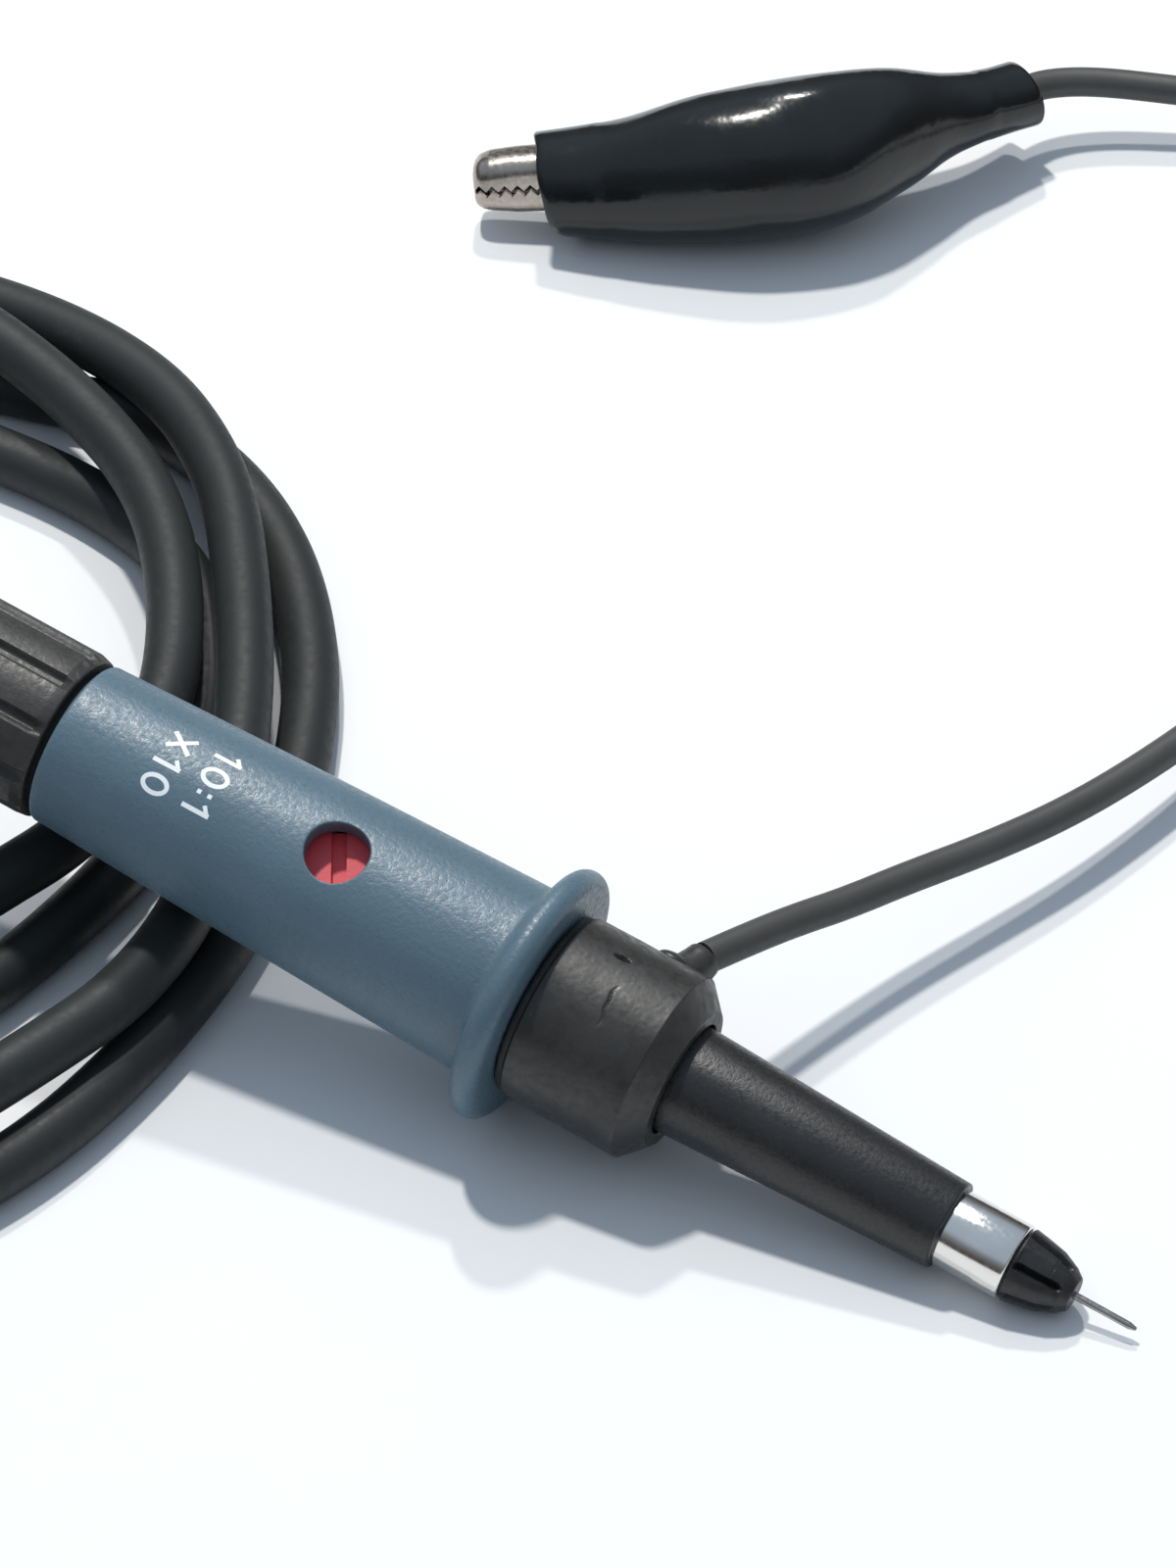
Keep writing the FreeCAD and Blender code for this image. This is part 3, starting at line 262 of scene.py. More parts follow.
def cable(name, pts, dia, mat, body):
    cu = bpy.data.curves.new(name, "CURVE")
    cu.dimensions = "3D"
    sp = cu.splines.new("NURBS")
    sp.points.add(len(pts) - 1)
    for p, q in zip(sp.points, pts):
        p.co = (q[0] * MM, q[1] * MM, q[2] * MM, 1.0)
    sp.order_u = 3
    sp.use_endpoint_u = True
    sp.resolution_u = 24
    cu.bevel_depth = dia / 2
    cu.bevel_resolution = 10
    cu.use_fill_caps = True
    cu.materials.append(mat)
    ob = bpy.data.objects.new(name, cu)
    bpy.context.collection.objects.link(ob)
    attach(ob, body)
    return ob


coax = cable("coax_cable", COAX, 0.0038, M["cable"], "probe")
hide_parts("coax_lead_in", "coax_coil", "coax_lead_out")

# ------------------------------------------------------------------ clip frame
hd, pt, rl = (math.radians(v) for v in (27.3, 5.5, 15.0))
CX = Vector((math.cos(hd) * math.cos(pt), math.sin(hd) * math.cos(pt), math.sin(pt)))
side = Vector((-math.sin(hd), math.cos(hd), 0))
lift = CX.cross(side)
CZ = lift * math.cos(rl) + side * math.sin(rl)
CY = CZ.cross(CX)
JAW = Vector((-36.6, 72.7, 3.0))


def cp(x, y, z):
    return (JAW + CX * x + CY * y + CZ * z) * MM


spout_root = GUARD + AX * 6.6 + (YY * math.cos(math.radians(23)) + UP * math.sin(math.radians(23))) * (6.24 - 0.9)
OUT = Vector((0.20, 0.97, 0.10)).normalized()
lead_exit = spout_root + OUT * 2.4
LEAD = [tuple(lead_exit), (19.45, 10.55, 8.95), (20.8, 14.3, 8.1), (22.4, 18.2, 7.1), (24.3, 22.9, 6.3), (26.9, 28.5, 5.4),
        (29.6, 34.8, 4.7), (31.8, 42.0, 4.1), (33.5, 49.6, 3.5), (35.2, 57.6, 2.7), (36.9, 66.0, 1.9), (38.2, 75.0, 1.35),
        (38.8, 84.0, 1.15), (37.4, 92.8, 1.15), (33.4, 100.6, 1.25), (27.2, 106.6, 1.6), (19.4, 109.7, 2.2),
        (11.2, 109.6, 3.0), (3.8, 106.6, 3.7)]
for q in ((40.8, 12.2, 0.8), (36.6, 8.3, 0.8), (33.2, 5.8, 0.5), (30.2, 3.3, -0.7), (27.0, 1.2, -2.1)):
    LEAD.append(tuple(cp(*q) / MM))
lead = cable("ground_wire", LEAD, 0.0021, M["lead"], "ground_set")
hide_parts("ground_lead")

# ------------------------------------------------------------------ barrel with its window
SW, RW, LIP = -14.6, 2.05, 0.14


def R_out(s):
    f = min(1.0, max(0.0, (s + 34.1) / 30.6))
    return 5.436 + 0.945 * f + 0.06 * math.sin(math.pi * f)


win = spoke(ROLL)
tan = -UP * math.sin(ROLL) + YY * math.cos(ROLL)


def wp(t, s, x):
    return (GUARD + AX * s + win * x + tan * t) * MM


verts, faces, index = [], [], {}
NP = 28
HS = 3.3
dth = math.asin(HS / 5.95)
inner_a = [ROLL - dth + 2 * dth * i / NP for i in range(NP + 1)]
outer_a = [ROLL + dth + (2 * math.pi - 2 * dth) * i / 132 for i in range(1, 132)]
angles = inner_a + outer_a
rows = []
rear = outline((-34.35, 4.72), (-34.35, 5.436, 0.28), (-33.6, 5.45), steps=5)
rows += rear
s_lines = list(np.linspace(-32.8, SW - HS, 12)) + list(np.linspace(SW - HS, SW + HS, NP + 1))[1:] + list(np.linspace(SW + HS, -3.7, 9))[1:]
rows += [(s, R_out(s)) for s in s_lines]
rows += outline((-3.7, R_out(-3.7)), (-1.9, 6.42, 1.25), (-1.9, 8.59, 0.93), (0.0, 8.59, 0.93), (0.0, 4.2), steps=9)[1:]
rows += [(-0.6, 4.2)]
r0 = next(i for i, (s, r) in enumerate(rows) if abs(s - (SW - HS)) < 1e-6)
r1 = r0 + NP
for i, (s, r) in enumerate(rows):
    for j, a in enumerate(angles):
        if r0 < i < r1 and 0 < j < NP:
            continue
        index[(i, j)] = len(verts)
        verts.append(hp(s, r, a))
nA = len(angles)
for i in range(len(rows) - 1):
    for j in range(nA):
        j2 = (j + 1) % nA
        if r0 <= i < r1 and 0 <= j < NP:
            continue
        faces.append((index[(i, j)], index[(i, j2)], index[(i + 1, j2)], index[(i + 1, j)]))
ring = [(r0, j) for j in range(NP)] + [(i, NP) for i in range(r0, r1)] + [(r1, j) for j in range(NP, 0, -1)] + [(i, 0) for i in range(r1, r0, -1)]
edge = []
for (i, j) in ring:
    s = rows[i][0]
    edge.append((rows[i][1] * math.sin(angles[j] - ROLL), s))
prev = [index[k] for k in ring]
m = len(ring)
K = 8
for k in range(1, K + 1):
    f = (k / K) ** 0.8
    cur = []
    for (t, s) in edge:
        al = math.atan2(s - SW, t)
        ct, cs = (RW + LIP) * math.cos(al), SW + (RW + LIP) * math.sin(al)
        tt, ss = t + (ct - t) * f, s + (cs - s) * f
        cur.append(len(verts))
        verts.append(wp(tt, ss, math.sqrt(R_out(ss) ** 2 - tt * tt)))
    for q in range(m):
        faces.append((prev[q], prev[(q + 1) % m], cur[(q + 1) % m], cur[q]))
    prev = cur
for k in range(1, 9):
    cur = []
    for (t, s) in edge:
        al = math.atan2(s - SW, t)
        if k <= 5:
            g = math.radians(18 * k)
            rho, d = RW + LIP * (1 - math.sin(g)), LIP * (1 - math.cos(g))
            tt, ss = rho * math.cos(al), SW + rho * math.sin(al)
            x = math.sqrt(R_out(ss) ** 2 - tt * tt) - d
        else:
            tt, ss = RW * math.cos(al), SW + RW * math.sin(al)
            x0 = math.sqrt(R_out(ss) ** 2 - tt * tt) - LIP
            x1 = math.sqrt(4.72 ** 2 - tt * tt)
            x = x0 + (x1 - x0) * (k - 5) / 3
        cur.append(len(verts))
        verts.append(wp(tt, ss, x))
    for q in range(m):
        faces.append((prev[q], prev[(q + 1) % m], cur[(q + 1) % m], cur[q]))
    prev = cur
barrel = piece("barrel_shell", verts, faces, M["blue"], "probe", 40)
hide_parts("barrel")

# generic attenuation marking, printed round the barrel
def stroke(pts, w, closed=False):
    """A flat ribbon along a polyline, cut into short pieces, in the text's own plane."""
    pts = [Vector(q) for q in pts]
    path = []
    n = len(pts)
    for i in range(n if closed else n - 1):
        a_, b_ = pts[i], pts[(i + 1) % n]
        k = max(1, int((b_ - a_).length / 0.12))
        path += [a_ + (b_ - a_) * j / k for j in range(k)]
    if not closed:
        path.append(pts[-1])
    out, m_ = [], len(path)
    for i in range(m_):
        a_ = path[i - 1] if (i or closed) else path[0]
        b_ = path[(i + 1) % m_] if (i < m_ - 1 or closed) else path[-1]
        t = (b_ - a_).normalized()
        nn = Vector((-t.y, t.x)) * w / 2
        out.append((path[i] + nn, path[i] - nn))
    quads = [(out[i], out[(i + 1) % m_]) for i in range(m_ if closed else m_ - 1)]
    return [(a_[0], a_[1], b_[1], b_[0]) for a_, b_ in quads]


def glyph(ch, cx, H=1.95, w=0.30):
    h2 = H / 2 - w / 2
    if ch == "X":
        return stroke([(cx - 0.62, -h2), (cx + 0.62, h2)], w) + stroke([(cx - 0.62, h2), (cx + 0.62, -h2)], w)
    if ch == "1":
        return stroke([(cx + 0.12, -h2 - w / 2), (cx + 0.12, h2 + w / 2)], w) + stroke([(cx - 0.42, h2 - 0.42), (cx + 0.12, h2 + 0.02)], w * 0.9)
    if ch == "0":
        return stroke([(cx + 0.55 * math.cos(q), h2 * math.sin(q)) for q in np.linspace(0, 2 * math.pi, 40)[:-1]], w, True)
    return [[Vector((cx + 0.17 * math.cos(q) * k_, y_ + 0.17 * math.sin(q) * k_)) for q in (0.8, 2.36, 3.93, 5.5)] for y_ in (-0.38, 0.38) for k_ in (1.2,)]


for k, (txt, s_c, a_c) in enumerate((((("1", -2.35), ("0", -0.75), (":", 0.50), ("1", 1.55)), -23.75, -23.2), ((("X", -1.65), ("1", 0.0), ("0", 1.55)), -26.85, -21.8))):
    vs, fs = [], []
    for ch, cx in txt:
        for quad in glyph(ch, cx):
            b0 = len(vs)
            for q in quad:
                s_ = s_c + q[1]
                r_ = R_out(s_) + 0.012
                vs.append(hp(s_, r_, math.radians(a_c) - q[0] / r_))
            fs.append(tuple(range(b0, b0 + len(quad))))
    ob = piece("marking_%d" % k, vs, fs, M["paint"], "probe", 60, weld=False)

# ------------------------------------------------------------------ tail grip with ribs
def tail_shape(s, r, a):
    if s > -35.1 or r < 4.6:
        return r
    f = min(1.0, (-35.1 - s) / 0.5)
    w = a * 10 / (2 * math.pi) + 0.18
    d = abs((w + 0.5) % 1.0 - 0.5) * (2 * math.pi * 5.6 / 10)
    g = 0.42 * max(0.0, 1 - (max(0.0, d - 0.22) / 0.30)) if d < 0.52 else 0.0
    return r - f * g - 0.06 * f * math.cos(a * 3 + 1.0)


prof = outline((-34.80, 4.6), (-34.80, 5.45, 0.18), (-35.6, 5.62, 0.3), (-45.0, 5.62, 1.0), (-47.3, 5.2, 0.6), (-48.0, 4.4, 0.3), (-48.0, 3.6), steps=6)
fill = []
for (s0, ra), (s1, rb) in zip(prof, prof[1:]):
    n = max(1, int(abs(s1 - s0) / 0.6))
    fill += [(s0 + (s1 - s0) * i / n, ra + (rb - ra) * i / n) for i in range(n)]
fill.append(prof[-1])
tail = turned("tail_grip_ribbed", fill, M["tail"], "probe", seg=360, shape=tail_shape, sharp=40)
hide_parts("tail_grip")
# ring filling the joint between tail grip and barrel, coloured near-black as painted shade in the gap
gap = turned("tail_gap_shade_ring", [(-34.9, 4.6), (-34.9, 4.85), (-34.2, 4.85), (-34.2, 4.6)], M["dark"], "probe", seg=96)

# ------------------------------------------------------------------ nose, sleeve, tip
nose = turned("nose_tube", outline((9.4, 3.5), (9.4, 3.62, 0.1), (28.99, 2.885, 0.14), (28.99, 2.45), steps=5), M["nose"], "probe", seg=160)
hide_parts("nose_sleeve")
sleeve = turned("ground_sleeve_bright", outline((28.8, 2.40), (29.0, 2.50), (33.63, 2.50, 0.16), (33.63, 2.16), steps=5), M["nickel"], "probe", seg=160)
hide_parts("ground_sleeve")


def crown(s, r, a):
    """The split cone: six rounded petals parted by narrow grooves."""
    if s < 33.75:
        return r
    f = min(1.0, (s - 33.75) / 0.5)
    w = ((a - 0.30) / (2 * math.pi / 6) + 0.5) % 1.0 - 0.5
    d = abs(w) * (2 * math.pi * r / 6)
    rr = r * (1 + 0.035 * f * (math.cos(2 * math.pi * (w + 0.5)) - 1) * 0.5)
    e_ = max(0.0, min(1.0, (s - 33.82) / 0.25, (37.1 - s) / 0.5))
    rr -= 0.62 * e_ * max(0.0, 1 - d / 0.30) ** 0.7 if d < 0.30 else 0.0
    # one petal is worn flat
    u = (a + 0.55 + math.pi) % (2 * math.pi) - math.pi
    if abs(u) < 0.40 and 34.0 < s < 36.2:
        rr = min(rr, (r - 0.10) / max(0.9, math.cos(u * 0.8)))
    return rr


cprof = outline((33.45, 2.16), (33.72, 2.16), (33.80, 2.43, 0.12), (34.9, 2.25, 0.5), (36.0, 2.03, 0.6), (37.1, 1.55, 0.4), (37.70, 1.10, 0.2), (37.70, 0.2), steps=6)
fill = []
for (s0, ra), (s1, rb) in zip(cprof, cprof[1:]):
    n = max(1, int(abs(s1 - s0) / 0.08))
    fill += [(s0 + (s1 - s0) * i / n, ra + (rb - ra) * i / n) for i in range(n)]
fill.append(cprof[-1])
crown_ob = turned("tip_insulator_split", fill, M["tip"], "probe", seg=432, shape=crown, sharp=35)
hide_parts("tip_insulator")
needle = turned("needle_point", outline((37.0, 0.24), (37.4, 0.24), (41.5, 0.235, 0.3), (42.0, 0.11, 0.09), (42.0, 0.0), steps=6), M["needle"], "probe", seg=48)
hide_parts("tip_needle")

# ------------------------------------------------------------------ ground collar
def collar_shape(s, r, a):
    d = (a + math.pi) % (2 * math.pi) - math.pi
    rr = r
    if r > 4.4 and s > 0.7:
        rr += 0.018 * noise.noise(Vector((s * 0.4, math.cos(a) * 4, math.sin(a) * 4)))
        rr += 0.006 * noise.noise(Vector((s * 3.0, math.cos(a) * 20, math.sin(a) * 20)))
        # moulding line along the far side and a fine crack round the top
        q = abs((d - 1.9 + math.pi) % (2 * math.pi) - math.pi) * 6.24
        rr += 0.06 * math.exp(-(q / 0.12) ** 2)
        if -0.66 < d < -0.16:
            c = 5.0 + 0.16 * math.sin(d * 9 + 1) + 0.05 * math.sin(d * 31)
            e_ = min(1.0, (d + 0.66) / 0.12, (-0.16 - d) / 0.12)
            rr -= 0.085 * e_ * math.exp(-((s - c) / 0.075) ** 2)
        q = math.hypot((s - 4.0) / 0.62, (d - 0.17) * 6.24 / 0.22)
        if q < 1:
            rr -= 0.42 * (1 - q * q)
    return rr


cp_prof = outline((1.4, 4.3), (0.10, 4.9), (0.10, 5.98, 0.25), (0.62, 6.02, 0.10), (0.70, 6.16, 0.12), (8.64, 6.235, 0.16), (10.17, 4.62, 0.16), (10.2, 3.80, 0.12), (9.6, 3.74), steps=5)
fill = []
for (s0, ra), (s1, rb) in zip(cp_prof, cp_prof[1:]):
    n = max(1, int(math.hypot(s1 - s0, rb - ra) / 0.06))
    fill += [(s0 + (s1 - s0) * i / n, ra + (rb - ra) * i / n) for i in range(n)]
fill.append(cp_prof[-1])
collar = turned("collar_moulded", fill, M["rubber"], "ground_set", seg=540, shape=collar_shape, sharp=40)
knob_o = spoke(math.radians(56)) * 6.1 + AX * 5.9 + GUARD
bm = bmesh.new()
bmesh.ops.create_icosphere(bm, subdivisions=4, radius=1.0)
for v in bm.verts:
    q = v.co.copy()
    v.co = (knob_o + AX * q.x * 1.15 + spoke(math.radians(56)) * q.y * 0.50 + spoke(math.radians(146)) * q.z * 1.05) * MM
me = bpy.data.meshes.new("collar_boss")
bm.to_mesh(me)
bm.free()
me.shade_smooth()
me.materials.append(M["rubber"])
boss = bpy.data.objects.new("collar_boss", me)
bpy.context.collection.objects.link(boss)
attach(boss, "ground_set")
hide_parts("ground_collar")

# lead spout: a short flared neck
qx = OUT.cross(Vector((0, 0, 1))).normalized()
qz = qx.cross(OUT)
vs, fs = [], []
SP = [(-1.8, 2.0), (-0.2, 1.85), (0.5, 1.6), (1.2, 1.36), (1.9, 1.24), (2.3, 1.19), (2.42, 1.12), (2.40, 1.0)]
for (d, r) in SP:
    for k in range(64):
        a = 2 * math.pi * k / 64
        vs.append((spout_root + OUT * d + (qx * math.cos(a) + qz * math.sin(a)) * r) * MM)
for i in range(len(SP) - 1):
    for k in range(64):
        fs.append((i * 64 + k, i * 64 + (k + 1) % 64, (i + 1) * 64 + (k + 1) % 64, (i + 1) * 64 + k))
spout = piece("spout_flared", vs, fs, M["rubber"], "ground_set", 45)
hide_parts("lead_spout")


# ------------------------------------------------------------------ clip jaws
def jaw(name, body, xs, half_w, crest, seam, sign, thick, mat):
    """A pressed half: a folded channel whose open edge is the seam."""
    verts, faces = [], []
    NS = 28
    for layer in (0, 1):
        off = thick * layer
        for x in xs:
            w, c, m_ = half_w(x) - off, crest(x) - off, seam(x)
            c = max(c, m_ + 0.05)
            rad = min(w * 0.75, (c - m_) * 0.8)
            pts = [(-w, m_)]
            for k in range(NS // 2 - 1):
                g = math.pi / 2 * k / (NS // 2 - 2)
                pts.append((-w + rad * (1 - math.cos(g)), c - rad + rad * math.sin(g)))
            for k in range(NS // 2 - 1):
                g = math.pi / 2 * (1 - k / (NS // 2 - 2))
                pts.append((w - rad * (1 - math.cos(g)), c - rad + rad * math.sin(g)))
            pts.append((w, m_))
            for (y, z) in pts:
                verts.append(cp(x, y, sign * z))
    n = len(pts)
    L = len(xs)
    for layer in (0, 1):
        b0 = layer * L * n
        for i in range(L - 1):
            for k in range(n - 1):
                faces.append((b0 + i * n + k, b0 + i * n + k + 1, b0 + (i + 1) * n + k + 1, b0 + (i + 1) * n + k))
    b1 = L * n
    for i in range(L - 1):
        for k in (0, n - 1):
            faces.append((i * n + k, (i + 1) * n + k, b1 + (i + 1) * n + k, b1 + i * n + k))
    for i in (0, L - 1):
        for k in range(n - 1):
            faces.append((i * n + k, i * n + k + 1, b1 + i * n + k + 1, b1 + i * n + k))
    faces.append(tuple(range(n)) if True else ())
    return piece(name, verts, faces, mat, body, 40, weld=False)


def interp(x, table):
    return float(np.interp(x, [t[0] for t in table], [t[1] for t in table]))


def tri(x, p=0.9, a=0.5):
    f = ((x - 0.45) / p) % 1.0
    return a * (1 - abs(2 * f - 1))


xs = sorted(set([0.0, 0.04, 0.1, 0.18, 0.3, 0.45] + [round(v, 3) for v in np.arange(0.6, 7.6, 0.075)] + [round(v, 3) for v in np.arange(7.6, 25.01, 0.4)]))
up_w = [(0.0, 0.95), (0.04, 1.15), (0.1, 1.3), (0.18, 1.42), (0.3, 1.54), (0.6, 1.68), (1.2, 1.78), (2.5, 1.8), (25.0, 1.8)]
up_c = [(0.0, 1.35), (0.04, 1.5), (0.1, 1.65), (0.3, 1.9), (0.6, 2.1), (1.2, 2.3), (3.0, 2.48), (12.0, 2.8), (18.0, 3.7), (23.0, 5.2), (25.0, 5.2)]
lo_w = [(0.0, 0.8), (0.1, 1.1), (0.3, 1.28), (0.6, 1.38), (1.2, 1.4), (25.0, 1.4)]
lo_c = [(0.0, 1.1), (0.1, 1.3), (0.3, 1.5), (0.6, 1.65), (1.2, 1.8), (3.0, 2.0), (12.0, 2.15), (18.0, 2.6), (22.0, 3.3), (25.0, 3.3)]


def up_seam(x):
    if x < 7.4:
        return 0.10 + (0.45 - tri(x, 0.9, 0.45)) * min(1, x / 0.3)
    return interp(x, [(7.4, 0.55), (12.4, 0.6), (13.8, -0.8), (17.2, -0.8), (18.5, 1.7), (23.0, 3.5), (25.0, 3.8)])


def lo_seam(x):
    if x < 7.4:
        return 0.05 + tri(x, 0.9, 0.45) * min(1, x / 0.3)
    return interp(x, [(7.4, 0.45), (12.4, 0.5), (13.8, -1.3), (17.2, -1.3), (18.5, 0.9), (22.0, 2.0), (25.0, 2.3)])


upper = jaw("jaw_upper_pressed", "upper_jaw", xs, lambda x: interp(x, up_w), lambda x: interp(x, up_c), up_seam, 1, 0.34, M["steel"])
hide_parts("clip_upper_jaw")
lower = jaw("jaw_lower_pressed", "ground_set", xs, lambda x: interp(x, lo_w), lambda x: interp(x, lo_c), lo_seam, -1, 0.34, M["steel"])
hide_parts("clip_lower_jaw")

# ------------------------------------------------------------------ clip boot
BOOT = [  # x, y, z, half height, half width
    (5.6, -0.7, 0.05, 3.75, 3.6), (10.0, -1.1, 0.25, 4.30, 4.0), (15.0, -1.2, 0.65, 5.1, 4.5),
    (20.0, -0.8, 0.95, 5.55, 4.95), (24.5, 0.4, 1.15, 5.5, 4.9), (28.5, 2.5, 1.40, 4.65, 4.0),
    (32.0, 4.9, 1.25, 3.35, 2.9), (35.4, 7.3, 1.00, 2.55, 2.4), (38.2, 9.6, 0.75, 2.45, 2.45)]
bt = np.array(BOOT)
par = np.concatenate([[0], np.cumsum(np.linalg.norm(np.diff(bt[:, :3], axis=0), axis=1))])


def spline(u):
    """Natural cubic through the boot's stations."""
    n = len(par)
    h = np.diff(par)
    A = np.zeros((n, n))
    A[0, 0] = A[-1, -1] = 1
    rhs = np.zeros((n, bt.shape[1]))
    for i in range(1, n - 1):
        A[i, i - 1], A[i, i], A[i, i + 1] = h[i - 1], 2 * (h[i - 1] + h[i]), h[i]
        rhs[i] = 6 * ((bt[i + 1] - bt[i]) / h[i] - (bt[i] - bt[i - 1]) / h[i - 1])
    Mm = np.linalg.solve(A, rhs)
    out = []
    for v in u:
        i = min(n - 2, max(0, int(np.searchsorted(par, v) - 1)))
        a_, b_ = (par[i + 1] - v) / h[i], (v - par[i]) / h[i]
        out.append(a_ * bt[i] + b_ * bt[i + 1] + ((a_ ** 3 - a_) * Mm[i] + (b_ ** 3 - b_) * Mm[i + 1]) * h[i] ** 2 / 6)
    return np.array(out)


US = np.linspace(0, par[-1], 90)
SEC = spline(US)
NB = 96


def boot_ring(i, grow, push=0.0):
    x, y, z, hh, ww = SEC[i]
    a_, c_ = SEC[max(i - 1, 0)], SEC[min(i + 1, len(SEC) - 1)]
    t = Vector((c_[0] - a_[0], c_[1] - a_[1], c_[2] - a_[2])).normalized()
    yv = Vector((0, 0, 1)).cross(t).normalized()
    zv = t.cross(yv)
    out = []
    for k in range(NB):
        g = 2 * math.pi * k / NB
        ex = 1.0
        cc, ss = math.cos(g), math.sin(g)
        p = Vector((x, y, z)) + zv * (hh + grow) * cc * ex + yv * (ww + grow) * ss * ex
        u = US[i]
        front = max(0.0, 1 - u / 5.0)
        slant = -0.75 * cc - 0.18 * math.sin(3 * g + 0.8) - 0.10 * math.sin(5 * g)
        rear_ = max(0.0, 1 - (par[-1] - u) / 4.0)
        p += t * (front * slant + push - rear_ * 0.55 * cc)
        if 4 < u < par[-1] - 4:
            q = noise.noise(Vector((p.x * 0.22, p.y * 0.3, p.z * 0.3))) * 0.16
            p += (zv * cc + yv * ss) * q
        out.append(cp(*p))
    return out


verts, faces = [], []
rings = []
for i in range(len(SEC)):
    rings.append(boot_ring(i, 0.0))
rings.append(boot_ring(len(SEC) - 1, -0.10, 0.10))
rings.append(boot_ring(len(SEC) - 1, -0.38, 0.10))
for i in range(len(SEC) - 1, -1, -1):
    rings.append(boot_ring(i, -0.48))
rings.append(boot_ring(0, -0.38, -0.10))
rings.append(boot_ring(0, -0.10, -0.10))
for r_ in rings:
    verts += r_
nr = len(rings)
for i in range(nr):
    j = (i + 1) % nr
    for k in range(NB):
        k2 = (k + 1) % NB
        faces.append((i * NB + k, i * NB + k2, j * NB + k2, j * NB + k))
boot = piece("clip_boot_soft", verts, faces, M["vinyl"], None, 60, weld=False)
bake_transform(boot)
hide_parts("clip_boot")

# ------------------------------------------------------------------ clip spring
path = [Vector((15.5 + 0.978 * q, -0.75, -0.75 - 0.208 * q)) for q in np.linspace(8.6, 0.4, 16)]
for t in np.linspace(0, 1, 121):
    g = math.radians(-90 - 900 * t)
    path.append(Vector((15.5 + 1.05 * math.cos(g), -0.75 + 1.5 * t, 0.3 + 1.05 * math.sin(g))))
path += [Vector((15.5 + 0.94 * q, 0.75, 1.35 + 0.34 * q)) for q in np.linspace(0.4, 8.6, 16)]
vs, fs = [], []
side_v = Vector((0, 1, 0))
for i, q in enumerate(path):
    t = (path[min(i + 1, len(path) - 1)] - path[max(i - 1, 0)]).normalized()
    side_v = (side_v - t * side_v.dot(t)).normalized()
    other = t.cross(side_v)
    rad = 0.28 if 0 < i < len(path) - 1 else 0.22
    for k in range(14):
        g = 2 * math.pi * k / 14
        w_ = q + (side_v * math.cos(g) + other * math.sin(g)) * rad
        vs.append(cp(w_.x, w_.y, w_.z))
for i in range(len(path) - 1):
    for k in range(14):
        fs.append((i * 14 + k, i * 14 + (k + 1) % 14, (i + 1) * 14 + (k + 1) % 14, (i + 1) * 14 + k))
fs.append(tuple(range(14)))
fs.append(tuple(range((len(path) - 1) * 14, len(path) * 14)))
spring = piece("clip_spring_wire", vs, fs, M["spring"], None, 50, weld=False)
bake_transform(spring)
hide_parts("clip_spring")

# ------------------------------------------------------------------ carried-over pieces
for node, key in {"cable_boot": "rubber", "coax_end": "cable", "crimp_ferrule": "nickel", "coax_core": "copper", "inner_shield": "nickel",
                  "circuit_board": "green", "trimmer_body": "white", "trimmer_rotor": "red", "reference_ring": "nickel", "tip_socket": "gold",
                  "input_resistor": "white", "nose_dielectric": "dielectric", "contact_spring": "gold", "collar_contact": "gold", "bnc_boot": "rubber",
                  "bnc_coax_end": "cable", "bnc_ferrule": "nickel", "bnc_shell": "nickel", "bnc_insulator": "dielectric", "bnc_centre_pin": "gold",
                  "bnc_coupling_nut": "nickel", "bnc_spring_washer": "spring", "bnc_gasket": "rubber", "clip_pin": "steel",
                  "lead_crimp": "steel"}.items():
    ob = N[node]
    if not ob.material_slots:
        ob.data.materials.append(M[key])
    for sl in ob.material_slots:
        sl.material = M[key]

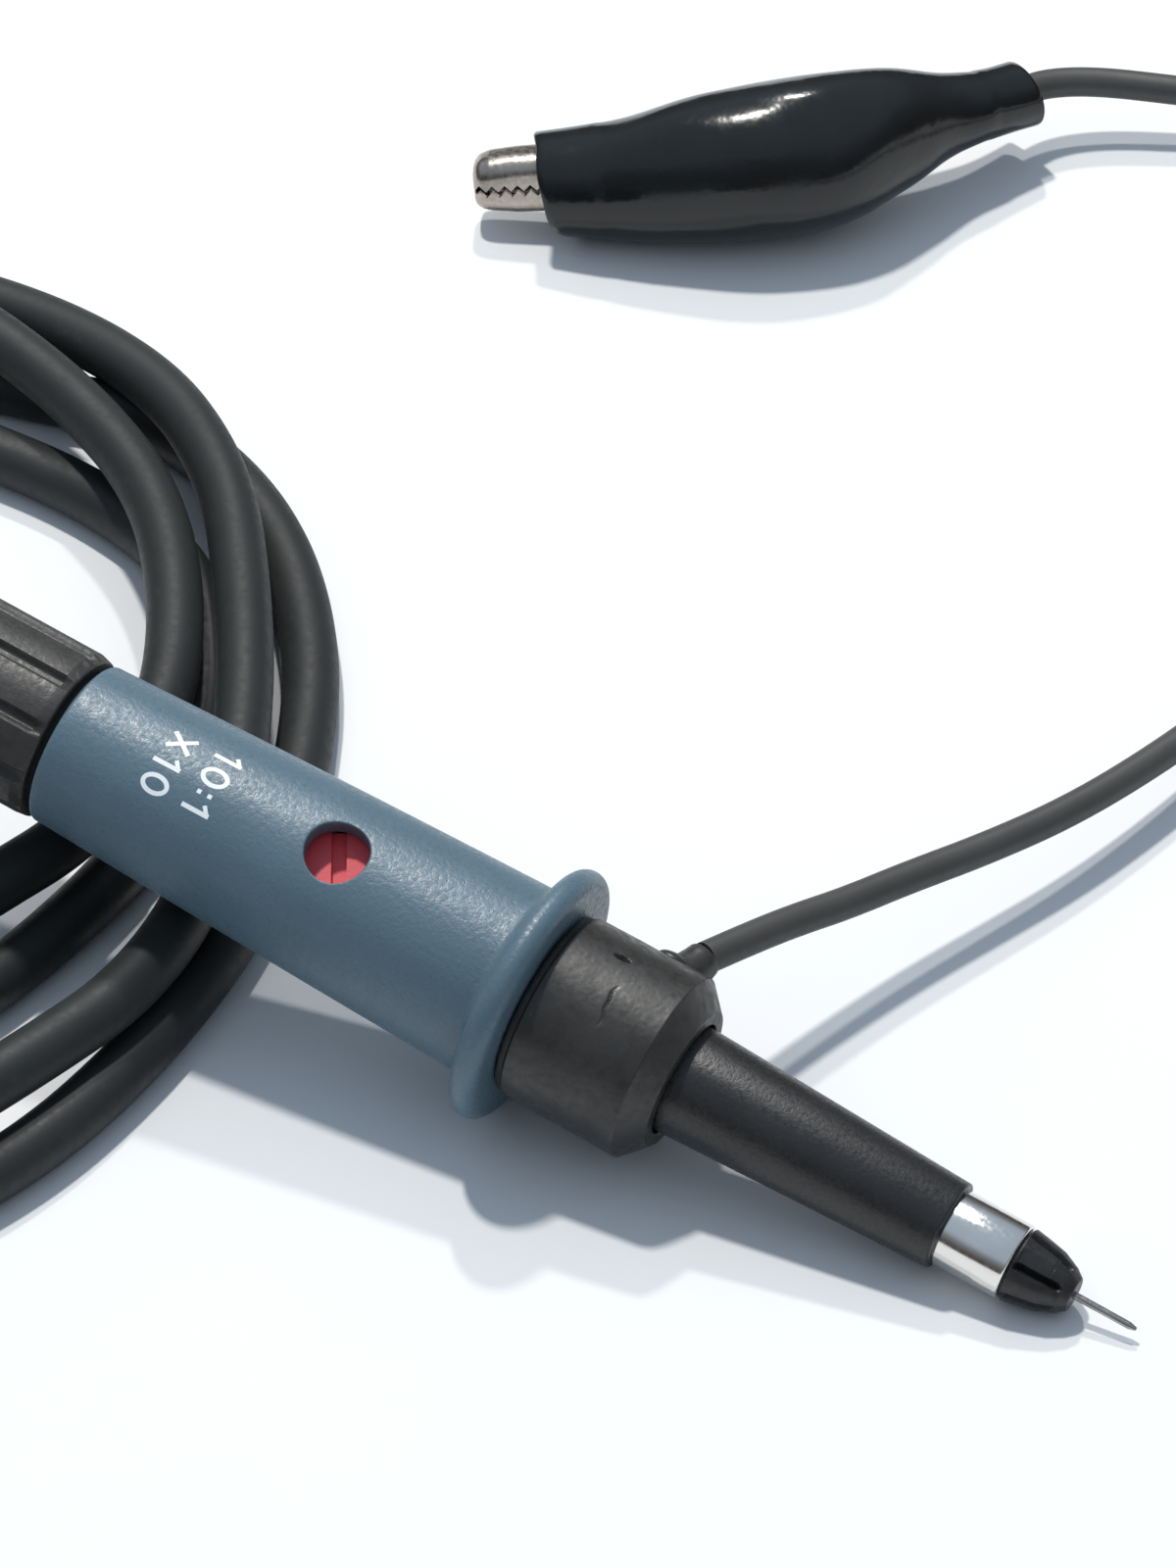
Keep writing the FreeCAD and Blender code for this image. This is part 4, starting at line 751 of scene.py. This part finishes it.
# ------------------------------------------------------------------ floor and lights
me = bpy.data.meshes.new("floor")
me.from_pydata([(-3, -3, 0), (3, -3, 0), (3, 3, 0), (-3, 3, 0)], [], [(0, 1, 2, 3)])
floor = bpy.data.objects.new("floor", me)
bpy.context.collection.objects.link(floor)
fm = material("floor_paper", (0.86, 0.87, 0.88), rough=0.75, tint=0.01, patch=20, grain=900, bump=0.02, spec=0.2)
me.materials.append(fm)


def area(name, toward, dist, size, power, colour):
    d = Vector(toward).normalized()
    focus = Vector((0.0, 0.03, 0.0))
    li = bpy.data.lights.new(name, "AREA")
    li.shape = "DISK"
    li.size = size
    li.energy = power
    li.color = colour
    ob = bpy.data.objects.new(name, li)
    ob.location = focus + d * dist
    ob.rotation_euler = (-d).to_track_quat("-Z", "Y").to_euler()
    bpy.context.collection.objects.link(ob)
    return ob


area("key", (-0.30, 0.22, 1.0), 1.3, 0.09, 10.6, (1.0, 0.97, 0.92))
area("second", (-0.36, 0.62, 1.0), 1.5, 0.08, 7.0, (1.0, 0.98, 0.95))
world = bpy.data.worlds.new("studio")
bpy.context.scene.world = world
world.use_nodes = True
wt = world.node_tree
bg = wt.nodes["Background"]
wc = wt.nodes.new("ShaderNodeTexCoord")
sep = wt.nodes.new("ShaderNodeSeparateXYZ")
wr = wt.nodes.new("ShaderNodeValToRGB")
cr_ = wr.color_ramp
cr_.elements[0].position = 0.0
cr_.elements[0].color = (0.10, 0.085, 0.07, 1)
cr_.elements[1].position = 1.0
cr_.elements[1].color = (0.66, 0.82, 1.0, 1)
for pos, col in ((0.18, (0.16, 0.14, 0.13, 1)), (0.42, (0.34, 0.38, 0.44, 1)), (0.60, (0.62, 0.74, 0.90, 1))):
    e_ = cr_.elements.new(pos)
    e_.color = col
wt.links.new(wc.outputs["Generated"], sep.inputs["Vector"])
wt.links.new(sep.outputs["Z"], wr.inputs["Fac"])
wt.links.new(wr.outputs["Color"], bg.inputs["Color"])
bg.inputs["Strength"].default_value = 0.60
bpy.context.scene.view_settings.view_transform = "Standard"
bpy.context.scene.view_settings.look = "None"
